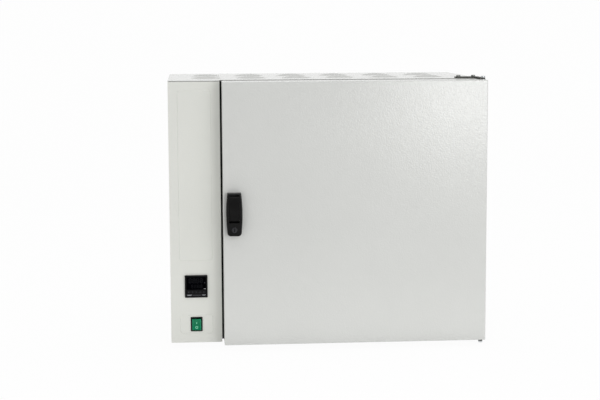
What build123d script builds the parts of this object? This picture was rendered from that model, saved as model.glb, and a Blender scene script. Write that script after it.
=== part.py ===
# Bench drying oven: a painted sheet case with a control space at the left, a stainless chamber
# in mineral wool, and a thick door hinged at the right.
# Millimetres. +X right, +Y to the back, +Z up. The origin is on the table, under the middle of
# the oven's outline.

from build123d import *
from math import cos, pi, radians, sin, tan
import os

# Case
case_width = 668.0
case_height = 556.0
case_depth = 442.0
sheet = 1.2
flange = 14.0
frame_flange = 24.0
top_joint = 0.8
frame_setback = 30.0

# Louvres in the top
louvre_length = 68.0
louvre_depth = 13.0
louvre_rise = 4.0
louvre_first_x = 83.0
louvre_pitch = 97.0
louvre_columns = 6
louvre_row_shares = (0.2873, 0.6154)

# Rear panel
rear_space = 45.0
vent_length = 60.0
vent_height = 4.0
vent_pitch = 10.0
vent_rows = 7
vent_drop = 60.0
vent_split = 75.0
inlet_above_bottom = 60.0
inlet_width = 27.0
inlet_height = 20.0
inlet_depth = 26.0
inlet_flange_width = 50.0
inlet_flange_height = 25.0
inlet_flange_sheet = 3.0
inlet_wall = 2.0
inlet_floor = 6.0
inlet_corner = 5.0
inlet_pin_spacing = 7.0
inlet_pin_width = 2.0
inlet_pin_height = 4.0
inlet_pin_rise = 2.0
inlet_earth_rise = 5.0
inlet_pin_setback = 4.0

# Door
door_proud = 42.0
door_thickness = 62.0
door_gap = 4.0
door_end_gap = 1.2
door_lip = 16.0
door_bend = 2.0
panel_inset = 7.0
panel_screw_inset = 12.0
panel_screw_length = 8.0
plug_gap = 8.0
plug_depth = 20.0
plug_bend = 4.0
gasket_width = 12.0
gasket_offset = 3.0
gasket_clearance = 0.3
gasket_round = 2.5

# Control fascia
fascia_width = 108.0
pad_width = 70.0
pad_height = 1.0
pad_radius = 7.0
upper_pad_low = 176.0
upper_pad_margin = 20.0
lower_pad_low = 20.0
lower_pad_height = 40.0
cut_corner = 1.0

# Chamber, inside walls of wool
side_wall = 63.0
end_wall = 63.0
liner_sheet = 1.0
liner_flange = 22.0
rear_wool = 45.0
wool_gap = 0.5

# Temperature probe
probe_from_back = 90.0
probe_below_top = 60.0
probe_radius = 2.5
probe_nut_radius = 6.0
probe_nut_length = 16.8
probe_tail = 20.0

# Shelves and their racks
rack_levels = 5
rack_pitch = 70.0
rack_first_level = 60.0
rack_stand_off = 8.0
rack_end_room = 10.0
rack_front_room = 8.0
rack_back_room = 2.0
rack_sheet = 1.5
upright_width = 14.0
rack_hook = 10.0
ledge_width = 12.0
shelf_front_room = 27.0
shelf_back_room = 3.0
shelf_side_gap = 1.5
shelf_bar = 5.0
shelf_wires = 24
shelf_wire_radius = 1.4
upper_shelf_level = 4
lower_shelf_level = 2

# Air baffle
baffle_space = 42.0
baffle_edge = 4.0
intake_rings = 4
intake_pitch = 15.0
intake_hole_radius = 5.0
outlet_rows = 9
outlet_pitch = 40.0
outlet_width = 26.0
outlet_height = 12.0
outlet_inset = 34.0
spacer_radius = 6.0
spacer_inset = 60.0
spacer_end_inset = 30.0

# Fan
impeller_radius = 68.0
impeller_width = 20.0
impeller_blades = 8
impeller_room = 8.0
vane_sheet = 1.2
hub_radius = 10.0
shaft_radius = 4.0
shaft_room = 3.0
running_gap = 0.05
motor_size = 62.0
motor_length = 26.0
motor_corner = 8.0
motor_post = 6.0
motor_post_radius = 4.5
motor_cap_radius = 14.0
motor_cap_height = 4.0
shaft_end_room = 8.0

# Heating element
element_ring_radius = 92.0
element_radius = 3.3
element_elbow_radius = 4.1
element_gland_radius = 9.9
element_gland_height = 3.0
element_leg_spacing = 44.0
element_tail = 20.0

# Exhaust
exhaust_outer_radius = 19.0
exhaust_wall = 1.5
exhaust_stub = 42.0
exhaust_offset = 120.0
exhaust_inside = 8.0
exhaust_flange_width = 7.0
exhaust_flange_sheet = 2.0
exhaust_collar_width = 5.0
hose_length = 21.0
bead_width = 3.0
bead_rise = 1.5
damper_axle_radius = 2.5
damper_axle_from_case = 13.0
damper_sheet = 1.6
damper_gap = 0.5
damper_tail = 3.0
damper_knob_radius = 9.0
damper_knob_height = 8.0
damper_knob_room = 5.0
damper_grip_width = 4.0
damper_grip_height = 5.0
damper_knob_round = 1.5

# Feet
foot_height = 12.0
foot_radius = 15.0
foot_taper = 2.0
foot_round = 1.5
foot_inset = 60.0
foot_screw_seat = 5.0

# Hinges
hinge_inset = 8.0
hinge_behind_front = 15.0
hinge_plate_thickness = 3.0
hinge_pin_radius = 4.0
hinge_stem_radius = 3.0
hinge_collar_radius = 5.5
hinge_pin_reach = 16.0
hinge_pin_head = 3.5
hinge_bar_length = 50.0
hinge_bar_depth = 22.0
hinge_bar_setback = 6.0
hinge_arm_width = 9.0
hinge_block_height = 20.0
hinge_block_width = 28.8
hinge_block_behind_pin = 14.0

# Handle
handle_from_door_edge = 22.7
handle_above_middle = 2.0
handle_height = 90.0
handle_proud = 16.0
handle_top_width = 28.5
handle_waist_width = 34.0
handle_waist_rise = 4.0
handle_bottom_width = 24.0
handle_corner = 6.0
handle_round = 2.2
handle_rim = 3.4
handle_floor = 2.5
lever_above_bottom = 32.0
lever_axis_depth = 6.0
lever_slot = 3.6
lever_swing = 35.0
lever_sheet = 5.0
lever_setback = 0.6
lever_hub_radius = 4.2
lever_pin_radius = 1.5
lever_pin_seat = 2.2
lever_round = 2.0
finger_lip_depth = 4.0
finger_lip_height = 3.0
finger_lip_drop = 6.0
arm_width = 6.0
arm_tip_radius = 2.2
arm_play = 2.4
arm_reach = 0.8
lock_above_bottom = 13.0
lock_radius = 6.0
lock_setback = 0.4
lock_behind_skin = 4.0
key_slot_width = 1.6
key_slot_height = 6.4
key_slot_depth = 6.0

# Latch
slide_thickness = 3.0
slide_width = 16.0
slide_behind_skin = 6.0
slide_below_axis = 12.0
latch_lift = 11.4
latch_case_depth = 14.0
latch_case_side = 3.0
latch_case_end = 4.0
latch_wall = 1.5
hook_thickness = 5.0
hook_height = 14.0
hook_nose = 5.0
hook_reach_past_frame = 11.0
hook_side_room = 2.5
hook_end_room = 1.5
hook_wool_depth = 16.0
keeper_sheet = 0.8
keeper_side = 9.0
keeper_height = 26.0
spring_room = 12.0
spring_coils = 7
spring_wire_radius = 0.5
spring_radius = 3.2

# Controller
controller_above_bottom = 121.3
controller_size = 48.0
controller_body = 44.8
controller_depth = 78.0
controller_proud = 3.5
controller_corner = 2.0
bezel_width = 2.5
bezel_depth = 0.8
window_width = 41.0
window_height = 27.0
window_drop = 4.0
window_depth = 2.0
window_sunk = 0.2
key_count = 5
key_pitch = 8.0
key_width = 5.6
key_height = 3.4
key_row_rise = 12.0
key_travel = 0.6
key_proud = 0.7
key_pocket = 4.5
key_corner = 0.5
pocket_corner = 0.6

# Mains switch
switch_above_bottom = 40.0
switch_width = 25.0
switch_height = 31.0
switch_proud = 2.0
switch_rim = 1.5
switch_depth = 22.0
switch_cavity_depth = 15.0
switch_wall = 2.0
rocker_width = 18.6
rocker_swing = 20.0
rocker_depth = 7.0
rocker_shoulder = 2.0
trunnion_radius = 1.5
trunnion_length = 1.0
spade_length = 8.0
spade_width = 6.0
spade_sheet = 0.8
spade_pitch = 9.0

# Relay, heat sink and terminals
sink_share = 0.52
sink_length = 80.0
sink_height = 100.0
sink_plate = 6.0
sink_fin_height = 20.0
sink_fin_sheet = 2.0
sink_fins = 9
relay_length = 36.0
relay_height = 60.0
relay_depth = 24.0
relay_pocket = 14.0
relay_pocket_depth = 12.0
relay_wall = 4.0
block_above_bottom = 90.0
block_length = 60.0
block_height = 22.0
block_depth = 18.0
block_ways = 5
block_way_pitch = 11.0
block_way_radius = 3.0
block_way_depth = 8.0
wire_radius = 1.3
wire_spacing = 10.0
bend_share = 0.45

# Fits
sliding_gap = 0.3
panel_gap = 0.4
skin_cut_margin = 8.0

# Fasteners
screw_radius = 2.0
screw_head_radius = 3.8
screw_head_height = 2.2
screw_hole_gap = 0.15
screw_round_share = 0.4
screw_recess_share = 0.6
screw_recess_width = 0.8
rear_screw_length = 8.0
hinge_screw_radius = 2.5
hinge_screw_head_radius = 4.6
hinge_screw_head_height = 3.4

# Places worked out from the sizes above
fascia_y = (door_proud + handle_proud - case_depth - exhaust_stub) / 2
case_back = fascia_y + case_depth
case_left = -case_width / 2
case_right = case_width / 2
case_bottom = foot_height
case_top = case_bottom + case_height
fascia_right = case_left + fascia_width
fascia_x = case_left + fascia_width / 2
fascia_top = case_top - sheet - top_joint
frame_front = fascia_y + frame_setback
frame_back = frame_front + sheet
inner_left = case_left + sheet
inner_right = case_right - sheet
cover_under = case_top - sheet
pan_top = case_bottom + sheet

door_left = fascia_right + door_gap
door_right = case_right
door_front = fascia_y - door_proud
door_back = door_front + door_thickness
door_low = case_bottom + door_end_gap
door_high = case_top - door_end_gap
handle_x = door_left + handle_from_door_edge
handle_z = case_bottom + case_height / 2 + handle_above_middle
handle_low = handle_z - handle_height / 2
handle_high = handle_z + handle_height / 2

chamber_left = door_left + side_wall
chamber_right = door_right - side_wall
chamber_low = case_bottom + end_wall
chamber_high = case_top - end_wall
chamber_width = chamber_right - chamber_left
chamber_height = chamber_high - chamber_low
chamber_x = (chamber_left + chamber_right) / 2
chamber_z = (chamber_low + chamber_high) / 2
chamber_front = frame_front - liner_sheet
inner_wall_y = case_back - rear_space
liner_back = inner_wall_y - rear_wool
chamber_back = liner_back - liner_sheet
partition_right = door_left
baffle_y = chamber_back - baffle_space
plug_back = chamber_front + plug_depth

hinge_x = door_right - hinge_inset
hinge_y = door_front + hinge_behind_front


def slab(x, y, z):
    """A block between two limits along each axis."""
    sizes = [high - low for low, high in (x, y, z)]
    middles = [(low + high) / 2 for low, high in (x, y, z)]
    return Pos(*middles) * Box(*sizes)


def rod(along, centre, span, radius):
    """A round bar along one axis; centre gives its place on the other two, in X, Y, Z order."""
    length = span[1] - span[0]
    middle = (span[0] + span[1]) / 2
    if along == "X":
        return Pos(middle, *centre) * Rot(0, 90, 0) * Cylinder(radius, length)
    if along == "Y":
        return Pos(centre[0], middle, centre[1]) * Rot(90, 0, 0) * Cylinder(radius, length)
    return Pos(*centre, middle) * Cylinder(radius, length)


def tile(centre, size, radius, y):
    """A plate with round corners that faces the front, between two depths."""
    face = Plane.XZ * RectangleRounded(*size, radius)
    return Pos(centre[0], y[1], centre[1]) * extrude(face, y[1] - y[0])


def group(pieces):
    """Separate solids that share one file."""
    return Compound(children=list(pieces))


def save(shape, node):
    """Writes one sub-part."""
    os.makedirs("parts", exist_ok=True)
    export_step(shape, f"parts/{node}.step")


def screw(
    point, outward, length, radius=screw_radius, head_radius=screw_head_radius, rise=screw_head_height
):
    """A cross-recessed pan-head screw with its head on point; outward is the side that the head is on."""
    head = Pos(0, 0, rise / 2) * Cylinder(head_radius, rise)
    head = fillet(head.edges().group_by(Axis.Z)[-1], rise * screw_round_share)
    reach = head_radius * screw_recess_share
    slot = slab((-reach, reach), (-screw_recess_width / 2, screw_recess_width / 2), (rise / 2, rise * 2))
    shank = Pos(0, 0, -length / 2) * Cylinder(radius, length)
    return Pos(*point) * TURN[outward] * (head + shank - [slot, Rot(0, 0, 90) * slot])


TURN = {"up": Rot(0, 0, 0), "down": Rot(180, 0, 0), "front": Rot(90, 0, 0), "back": Rot(-90, 0, 0)}


def screw_hole(point, along, depth, radius=screw_radius + screw_hole_gap):
    """The hole that lets a screw's shank through a sheet."""
    x, y, z = point
    if along == "Y":
        return rod("Y", (x, z), (y - depth, y + depth), radius)
    return rod("Z", (x, y), (z - depth, z + depth), radius)


# Where the hinge bars' screws go
bar_front = frame_front + hinge_bar_setback
bar_right = hinge_x + hinge_arm_width / 2
arm_left = hinge_x - hinge_arm_width / 2
hinge_screw_places = [
    (bar_right - share * hinge_bar_length, bar_front + hinge_bar_depth / 2) for share in (0.22, 0.86)
]


def hinge_screw_holes(z):
    """The holes for a hinge bar's screws in a sheet near height z."""
    radius = hinge_screw_radius + screw_hole_gap
    return [screw_hole((x, y, z), "Z", 4 * sheet, radius) for x, y in hinge_screw_places]


# Top cover, with its louvres
def louvre_form():
    """A low half-lens that rises to the back, where it is open; its base is at height 0."""
    half = louvre_length / 2
    front_view = Plane.XZ * make_face(
        [
            ThreePointArc((-half, 0), (0, louvre_rise), (half, 0)),
            Line((half, 0), (half, -sheet)),
            Line((half, -sheet), (-half, -sheet)),
            Line((-half, -sheet), (-half, 0)),
        ]
    )
    side_view = Plane.YZ * make_face(
        [
            ThreePointArc((0, 0), (louvre_depth * 0.4, louvre_rise * 0.68), (louvre_depth, louvre_rise)),
            Line((louvre_depth, louvre_rise), (louvre_depth, -sheet)),
            Line((louvre_depth, -sheet), (0, -sheet)),
            Line((0, -sheet), (0, 0)),
        ]
    )
    lens = Pos(0, louvre_depth, 0) * extrude(front_view, louvre_depth)
    return lens & extrude(side_view, half, both=True)


def outline_in_plan(low, high, setback):
    """The case's plan: full depth at the control space, set back behind the door."""
    whole = slab((case_left + setback, case_right - setback), (fascia_y, case_back - setback), (low, high))
    front = (fascia_y - setback, frame_front)
    return whole - slab((fascia_right, case_right), front, (low, high))


top_cover = outline_in_plan(cover_under, case_top, 0)
louvre_shell = louvre_form()
louvre_places = [
    Pos(case_left + louvre_first_x + louvre_pitch * column, fascia_y + case_depth * share, case_top)
    for share in louvre_row_shares
    for column in range(louvre_columns)
]
top_cover += [place * louvre_shell for place in louvre_places]
top_cover -= [place * Pos(0, 0, -sheet) * louvre_shell for place in louvre_places]
top_cover -= hinge_screw_holes(cover_under)
lip = (cover_under - flange, cover_under)
for wall in (inner_left + sliding_gap, inner_right - sliding_gap - sheet):
    top_cover += slab((wall, wall + sheet), (frame_back + flange, case_back - 3 * sheet), lip)
save(top_cover, "top_cover")

# Base pan
foot_places = [
    (x, y)
    for x in (case_left + foot_inset, case_right - foot_inset)
    for y in (fascia_y + foot_inset + frame_setback, case_back - foot_inset)
]
plan = slab((inner_left, inner_right), (fascia_y + sheet, case_back), (case_bottom, pan_top))
plan -= slab((fascia_right, case_right), (fascia_y, frame_front), (case_bottom, pan_top))
base_pan = plan
for wall in (inner_left, inner_right - sheet):
    base_pan += slab(
        (wall, wall + sheet), (frame_back + flange, case_back - 3 * sheet), (pan_top, pan_top + flange)
    )
base_pan -= [screw_hole((x, y, case_bottom), "Z", 2 * sheet) for x, y in foot_places]
base_pan -= hinge_screw_holes(case_bottom)
save(base_pan, "base_pan")


# Side panels, each with a flange at its back that takes the rear panel's screws
def side_panel(wall, inward, front):
    """A side sheet; wall is its inner face and inward points into the case."""
    z = (case_bottom, cover_under)
    panel = slab(sorted((wall, wall - inward * sheet)), (front, case_back), z)
    rear_flange = slab(
        sorted((wall, wall + inward * flange)),
        (case_back - 2 * sheet, case_back - sheet),
        (pan_top + flange, cover_under - 2 * flange),
    )
    return panel + rear_flange


rear_screw_places = [
    (x, case_back, case_bottom + case_height * share)
    for x in (inner_left + flange / 2, inner_right - flange / 2)
    for share in (0.12, 0.5, 0.88)
]
side_panel_left = side_panel(inner_left, 1, fascia_y + sheet)
side_panel_right = side_panel(inner_right, -1, frame_back)
side_panel_left -= [screw_hole(place, "Y", 4 * sheet) for place in rear_screw_places]
side_panel_right -= [screw_hole(place, "Y", 4 * sheet) for place in rear_screw_places]
save(side_panel_left, "side_panel_left")
save(side_panel_right, "side_panel_right")

# Control fascia: a tray with two raised pads and the holes for the controller and the switch
controller_z = case_bottom + controller_above_bottom
switch_z = case_bottom + switch_above_bottom
switch_body_width = switch_width - 2 * switch_rim
switch_body_height = switch_height - 2 * switch_rim


def raised_pad(low, high, grow):
    """One pressed pad with a bevelled edge; grow makes the hollow behind it smaller."""
    size = (pad_width - 2 * grow, high - low - 2 * grow)
    centre = (fascia_x, case_bottom + (low + high) / 2)
    pad = tile(centre, size, pad_radius - grow, (fascia_y - pad_height, fascia_y + sheet))
    return chamfer(pad.edges().group_by(Axis.Y)[0], pad_height * 0.9)


control_fascia = slab((case_left, fascia_right), (fascia_y, fascia_y + sheet), (case_bottom, fascia_top))
pads = (
    (upper_pad_low, case_height - upper_pad_margin),
    (lower_pad_low, lower_pad_low + lower_pad_height),
)
for low, high in pads:
    control_fascia += raised_pad(low, high, 0)
    control_fascia -= Pos(0, sheet, 0) * raised_pad(low, high, sheet / 2)
tray_z = (pan_top + sliding_gap, fascia_top)
control_fascia += slab((fascia_right - sheet, fascia_right), (fascia_y, frame_front), tray_z)
control_fascia += slab((inner_left, inner_left + sheet), (fascia_y, fascia_y + flange), tray_z)
control_fascia += slab(
    (inner_left, fascia_right), (fascia_y, fascia_y + flange), (fascia_top - sheet, fascia_top)
)
control_fascia -= tile(
    (fascia_x, controller_z),
    (controller_body + panel_gap, controller_body + panel_gap),
    cut_corner,
    (fascia_y - flange, fascia_y + 2 * sheet),
)
control_fascia -= tile(
    (fascia_x, switch_z),
    (switch_body_width + panel_gap, switch_body_height + panel_gap),
    cut_corner,
    (fascia_y - flange, fascia_y + 2 * sheet),
)
save(control_fascia, "control_fascia")

# Latch slot in the front frame, wide enough for the hook's swing with the door
slot_half_width = hook_thickness / 2 + hook_side_room
hook_low = handle_z - hook_height / 2
hook_high = handle_z + hook_height / 2
slot_low = hook_low - hook_nose - hook_end_room
slot_high = hook_high + latch_lift + hook_end_room
latch_slot = slab(
    (handle_x - slot_half_width, handle_x + slot_half_width),
    (door_back - sheet * 4, frame_back + flange),
    (slot_low, slot_high),
)

# Keeper spring behind the front frame, which the hook's nose snaps over
keeper_low = slot_low - keeper_height
keeper_half = slot_half_width + keeper_side
keeper_y = (frame_back, frame_back + keeper_sheet)
keeper_plate_z = (keeper_low, slot_low - hook_end_room)
keeper_tongue_z = (slot_low - 2 * hook_end_room, hook_low - sliding_gap)
keeper_spring = slab((handle_x - keeper_half, handle_x + keeper_half), keeper_y, keeper_plate_z)
keeper_spring += slab((handle_x - slot_half_width, handle_x + slot_half_width), keeper_y, keeper_tongue_z)
save(keeper_spring, "keeper_spring")

# Front frame behind the door
front_frame = slab((fascia_right - flange, inner_right), (frame_front, frame_back), (pan_top, cover_under))
front_frame -= slab(
    (chamber_left - liner_sheet - sliding_gap, chamber_right + liner_sheet + sliding_gap),
    (frame_front - sheet, frame_back + sheet),
    (chamber_low - liner_sheet - sliding_gap, chamber_high + liner_sheet + sliding_gap),
)
for z in ((pan_top, pan_top + sheet), (cover_under - sheet, cover_under)):
    front_frame += slab(
        (partition_right + sheet, inner_right - 2 * sheet), (frame_back, frame_back + frame_flange), z
    )
front_frame += slab(
    (inner_right - sheet, inner_right), (frame_back, frame_back + flange), (pan_top, cover_under)
)
front_frame -= [latch_slot, *hinge_screw_holes(case_bottom), *hinge_screw_holes(cover_under)]
save(front_frame, "front_frame")

# Partition between the chamber's wool and the control space
probe_y = chamber_back - probe_from_back
probe_z = chamber_high - probe_below_top
partition_wall = slab(
    (partition_right - sheet, partition_right), (frame_back, inner_wall_y + sheet), (pan_top, cover_under)
)
partition_wall += slab(
    (partition_right - flange, partition_right), (inner_wall_y, inner_wall_y + sheet), (pan_top, cover_under)
)
partition_wall -= rod(
    "X", (probe_y, probe_z), (partition_right - flange, partition_right + flange), probe_radius + sliding_gap
)
save(partition_wall, "partition_wall")

# Chamber liner with its front flange and the holes in its back
fan_centre = (chamber_x, chamber_z)
exhaust_x = chamber_x + exhaust_offset
exhaust_z = chamber_z + exhaust_offset
fan_hole_radius = shaft_radius + shaft_room
leg_places = [
    (chamber_x + side * element_leg_spacing / 2, chamber_z - element_ring_radius) for side in (-1, 1)
]
leg_hole_radius = element_radius + sliding_gap


def rear_passages(y):
    """The fan shaft's, the exhaust tube's and the heating legs' holes through the back walls."""
    cuts = rod("Y", fan_centre, y, fan_hole_radius)
    cuts += rod("Y", (exhaust_x, exhaust_z), y, exhaust_outer_radius + sliding_gap)
    for place in leg_places:
        cuts += rod("Y", place, y, leg_hole_radius)
    return cuts


def chamber_box(grow, y):
    """The chamber's clear space, grown on its four sides."""
    return slab(
        (chamber_left - grow, chamber_right + grow), y, (chamber_low - grow, chamber_high + grow)
    )


chamber_liner = chamber_box(liner_sheet, (chamber_front, liner_back))
chamber_liner += chamber_box(liner_flange, (chamber_front, chamber_front + liner_sheet))
chamber_liner -= chamber_box(0, (chamber_front - liner_sheet, chamber_back))
chamber_liner -= rear_passages((chamber_back - liner_sheet, liner_back + liner_sheet))
chamber_liner -= rod(
    "X",
    (probe_y, probe_z),
    (chamber_left - 4 * liner_sheet, chamber_left + 4 * liner_sheet),
    probe_radius + sliding_gap,
)
save(chamber_liner, "chamber_liner")

# Mineral wool slabs round the liner
wool_front = frame_back
wool_left = partition_right + wool_gap
wool_right = inner_right - 2 * sheet - wool_gap
wool_low = pan_top + sheet + wool_gap
wool_high = cover_under - sheet - wool_gap
liner_left = chamber_left - liner_sheet - wool_gap
liner_right = chamber_right + liner_sheet + wool_gap
liner_low = chamber_low - liner_sheet - wool_gap
liner_high = chamber_high + liner_sheet + wool_gap
wool_y = (wool_front, liner_back)
wool_height = (wool_low, wool_high)
probe_bore = rod(
    "X", (probe_y, probe_z), (partition_right - flange, chamber_left), probe_radius + sliding_gap
)
hook_room = slab(
    (handle_x - keeper_half - wool_gap, handle_x + keeper_half + wool_gap),
    (wool_front, wool_front + hook_wool_depth),
    (keeper_low - wool_gap, slot_high + wool_gap),
)
insulation_left = slab((wool_left, liner_left), wool_y, wool_height) - [probe_bore, hook_room]
save(insulation_left, "insulation_left")
save(slab((liner_right, wool_right), wool_y, wool_height), "insulation_right")
save(slab((liner_left, liner_right), wool_y, (liner_high, wool_high)), "insulation_top")
save(slab((liner_left, liner_right), wool_y, (wool_low, liner_low)), "insulation_bottom")
rear_slab_y = (liner_back, inner_wall_y)
rear_passage_y = (liner_back - sheet, inner_wall_y + 2 * sheet)
insulation_rear = slab((wool_left, wool_right), rear_slab_y, wool_height) - rear_passages(rear_passage_y)
save(insulation_rear, "insulation_rear")

# Inner rear wall, which holds the wool and carries the fan motor
inner_rear_wall = slab(
    (partition_right, inner_right - sheet - sliding_gap),
    (inner_wall_y, inner_wall_y + sheet),
    (pan_top, cover_under),
)
inner_rear_wall -= rear_passages(rear_passage_y)
save(inner_rear_wall, "inner_rear_wall")

# Rear panel with vents, the exhaust's hole and the inlet's hole
inlet_z = case_bottom + inlet_above_bottom
rear_panel = slab((inner_left, inner_right), (case_back - sheet, case_back), (pan_top, cover_under))
rear_cut_y = (case_back - 2 * sheet, case_back + sheet)
almost_half = 0.49
vent_span = vent_pitch * (vent_rows - 1)
vent_groups = (
    (fascia_x, chamber_high - vent_drop),
    (chamber_x, chamber_z - vent_split - vent_span / 2),
    (chamber_x, chamber_z + vent_split - vent_span / 2),
)
vent_size = (vent_length, vent_height)
rear_panel -= [
    tile((vent_x, vent_low + vent_pitch * row), vent_size, almost_half * vent_height, rear_cut_y)
    for vent_x, vent_low in vent_groups
    for row in range(vent_rows)
]
rear_panel -= rod("Y", (exhaust_x, exhaust_z), rear_cut_y, exhaust_outer_radius + sliding_gap)
rear_panel -= slab(
    (fascia_x - inlet_width / 2 - sliding_gap, fascia_x + inlet_width / 2 + sliding_gap),
    rear_cut_y,
    (inlet_z - inlet_height / 2 - sliding_gap, inlet_z + inlet_height / 2 + sliding_gap),
)
rear_panel -= [screw_hole(place, "Y", 2 * sheet) for place in rear_screw_places]
save(rear_panel, "rear_panel")

# Case screws: the rear panel's, and those that go up through the feet into the pan
foot_screw_length = pan_top + sheet - foot_screw_seat
case_screws = [screw(place, "back", rear_screw_length) for place in rear_screw_places]
case_screws += [screw((x, y, foot_screw_seat), "down", foot_screw_length) for x, y in foot_places]
save(group(case_screws), "case_screws")


# Rubber feet
def foot(x, y):
    """A round foot, tapered to the table, with a stepped bore for its screw."""
    body = Pos(x, y, foot_height / 2) * Cone(foot_radius - foot_taper, foot_radius, foot_height)
    body = fillet(body.edges().group_by(Axis.Z)[0], foot_round)
    bore = rod("Z", (x, y), (0, foot_height), screw_radius + screw_hole_gap)
    return body - [bore, rod("Z", (x, y), (0, foot_screw_seat), screw_head_radius + sheet)]


save(group(foot(x, y) for x, y in foot_places), "feet")

# Shelf racks: two uprights a side, hooked to the wall, with angle ledges between them
rack_front = plug_back + rack_front_room
rack_back = baffle_y - rack_back_room
rack_y = (rack_front, rack_back)
rack_low = chamber_low + rack_end_room
rack_high = chamber_high - rack_end_room


def ledge_height(level):
    """The top of a ledge, counted from 1 at the bottom."""
    return chamber_low + rack_first_level + rack_pitch * (level - 1)


def shelf_rack(wall, inward):
    """One side's rack; inward points from the wall into the chamber."""
    near = wall + inward * rack_stand_off
    pieces = []
    for y in (rack_front, rack_back - upright_width):
        upright_y = (y, y + upright_width)
        pieces.append(slab(sorted((near - inward * rack_sheet, near)), upright_y, (rack_low, rack_high)))
        for z in (rack_low, rack_high - rack_hook):
            pieces.append(slab(sorted((wall, near)), (y, y + rack_sheet), (z, z + rack_hook)))
    for level in range(1, rack_levels + 1):
        top = ledge_height(level)
        far = near + inward * ledge_width
        inside = near + inward * rack_sheet
        pieces.append(slab(sorted((near, far)), rack_y, (top - rack_sheet, top)))
        pieces.append(slab(sorted((near, inside)), rack_y, (top - ledge_width, top)))
    return pieces[0] + pieces[1:]


save(group([shelf_rack(chamber_left, 1), shelf_rack(chamber_right, -1)]), "shelf_racks")

# Shelves: a flat-bar frame with wires from front to back
shelf_back = baffle_y - shelf_back_room
shelf_front = plug_back + shelf_front_room
shelf_left = chamber_left + rack_stand_off + shelf_side_gap
shelf_right = chamber_right - rack_stand_off - shelf_side_gap


def shelf(level):
    """One wire shelf that rests on its ledges."""
    low = ledge_height(level)
    high = low + shelf_bar
    outer = slab((shelf_left, shelf_right), (shelf_front, shelf_back), (low, high))
    outer -= slab(
        (shelf_left + shelf_bar, shelf_right - shelf_bar),
        (shelf_front + shelf_bar, shelf_back - shelf_bar),
        (low, high),
    )
    outer += slab(
        (shelf_left + shelf_bar / 2, shelf_right - shelf_bar / 2),
        ((shelf_front + shelf_back - shelf_bar) / 2, (shelf_front + shelf_back + shelf_bar) / 2),
        (low, high - 2 * shelf_wire_radius),
    )
    pitch = (shelf_right - shelf_left) / (shelf_wires + 1)
    wire_y = (shelf_front + shelf_bar / 2, shelf_back - shelf_bar / 2)
    return outer + [
        rod("Y", (shelf_left + pitch * number, high - shelf_wire_radius), wire_y, shelf_wire_radius)
        for number in range(1, shelf_wires + 1)
    ]


save(shelf(upper_shelf_level), "shelf_upper")
save(shelf(lower_shelf_level), "shelf_lower")

# Air baffle: a false back wall with a round intake and two outlet columns, on spacers
air_baffle = slab(
    (chamber_left + baffle_edge, chamber_right - baffle_edge),
    (baffle_y, baffle_y + liner_sheet),
    (chamber_low + baffle_edge, chamber_high - baffle_edge),
)
baffle_cut_y = (baffle_y - sheet, baffle_y + 2 * sheet)
outlet_size = (outlet_width, outlet_height)
baffle_cuts = []
for ring in range(intake_rings):
    holes_in_ring = max(1, 6 * ring)
    for hole in range(holes_in_ring):
        angle = 2 * pi * hole / holes_in_ring
        place = (chamber_x + intake_pitch * ring * cos(angle), chamber_z + intake_pitch * ring * sin(angle))
        baffle_cuts.append(rod("Y", place, baffle_cut_y, intake_hole_radius))
for side in (-1, 1):
    for row in range(outlet_rows):
        place = (
            chamber_x + side * (chamber_width / 2 - outlet_inset),
            chamber_z + outlet_pitch * (row - (outlet_rows - 1) / 2),
        )
        baffle_cuts.append(tile(place, outlet_size, almost_half * outlet_height, baffle_cut_y))
air_baffle -= baffle_cuts
spacer_places = [
    (
        chamber_x + side * (chamber_width / 2 - spacer_inset),
        chamber_z + end * (chamber_height / 2 - spacer_end_inset),
    )
    for side in (-1, 1)
    for end in (-1, 1)
]
air_baffle += [rod("Y", place, (baffle_y, chamber_back), spacer_radius) for place in spacer_places]
save(air_baffle, "air_baffle")

# Fan impeller, shaft and motor
impeller_back = chamber_back - impeller_room
impeller_front = impeller_back - impeller_width
fan_impeller = rod("Y", fan_centre, (impeller_back - sheet, impeller_back), impeller_radius)
fan_impeller += rod("Y", fan_centre, (impeller_front, impeller_back), hub_radius)
vane_z = (-vane_sheet / 2, vane_sheet / 2)
vane = slab((hub_radius - vane_sheet, impeller_radius), (impeller_front, impeller_back), vane_z)
fan_impeller += [
    Pos(chamber_x, 0, chamber_z) * Rot(0, 360 * blade / impeller_blades, 0) * vane
    for blade in range(impeller_blades)
]
fan_impeller -= rod("Y", fan_centre, (impeller_front - sheet, impeller_back + sheet), shaft_radius)
save(fan_impeller, "fan_impeller")

motor_front = inner_wall_y + sheet
motor_back = motor_front + motor_post + motor_length
shaft_back = motor_back - shaft_end_room
save(rod("Y", fan_centre, (impeller_front, shaft_back), shaft_radius), "fan_shaft")

motor_body_y = (motor_front + motor_post, motor_back)
fan_motor = tile(fan_centre, (motor_size, motor_size), motor_corner, motor_body_y)
fan_motor += rod("Y", fan_centre, (motor_back - sheet, motor_back + motor_cap_height), motor_cap_radius)
post_offset = motor_size / 2 - motor_corner
for side in (-1, 1):
    for end in (-1, 1):
        corner = (chamber_x + side * post_offset, chamber_z + end * post_offset)
        fan_motor += rod("Y", corner, (motor_front, motor_front + motor_post + sheet), motor_post_radius)
fan_motor -= rod("Y", fan_centre, (motor_front, shaft_back + sheet), shaft_radius + running_gap)
save(fan_motor, "fan_motor")

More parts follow.
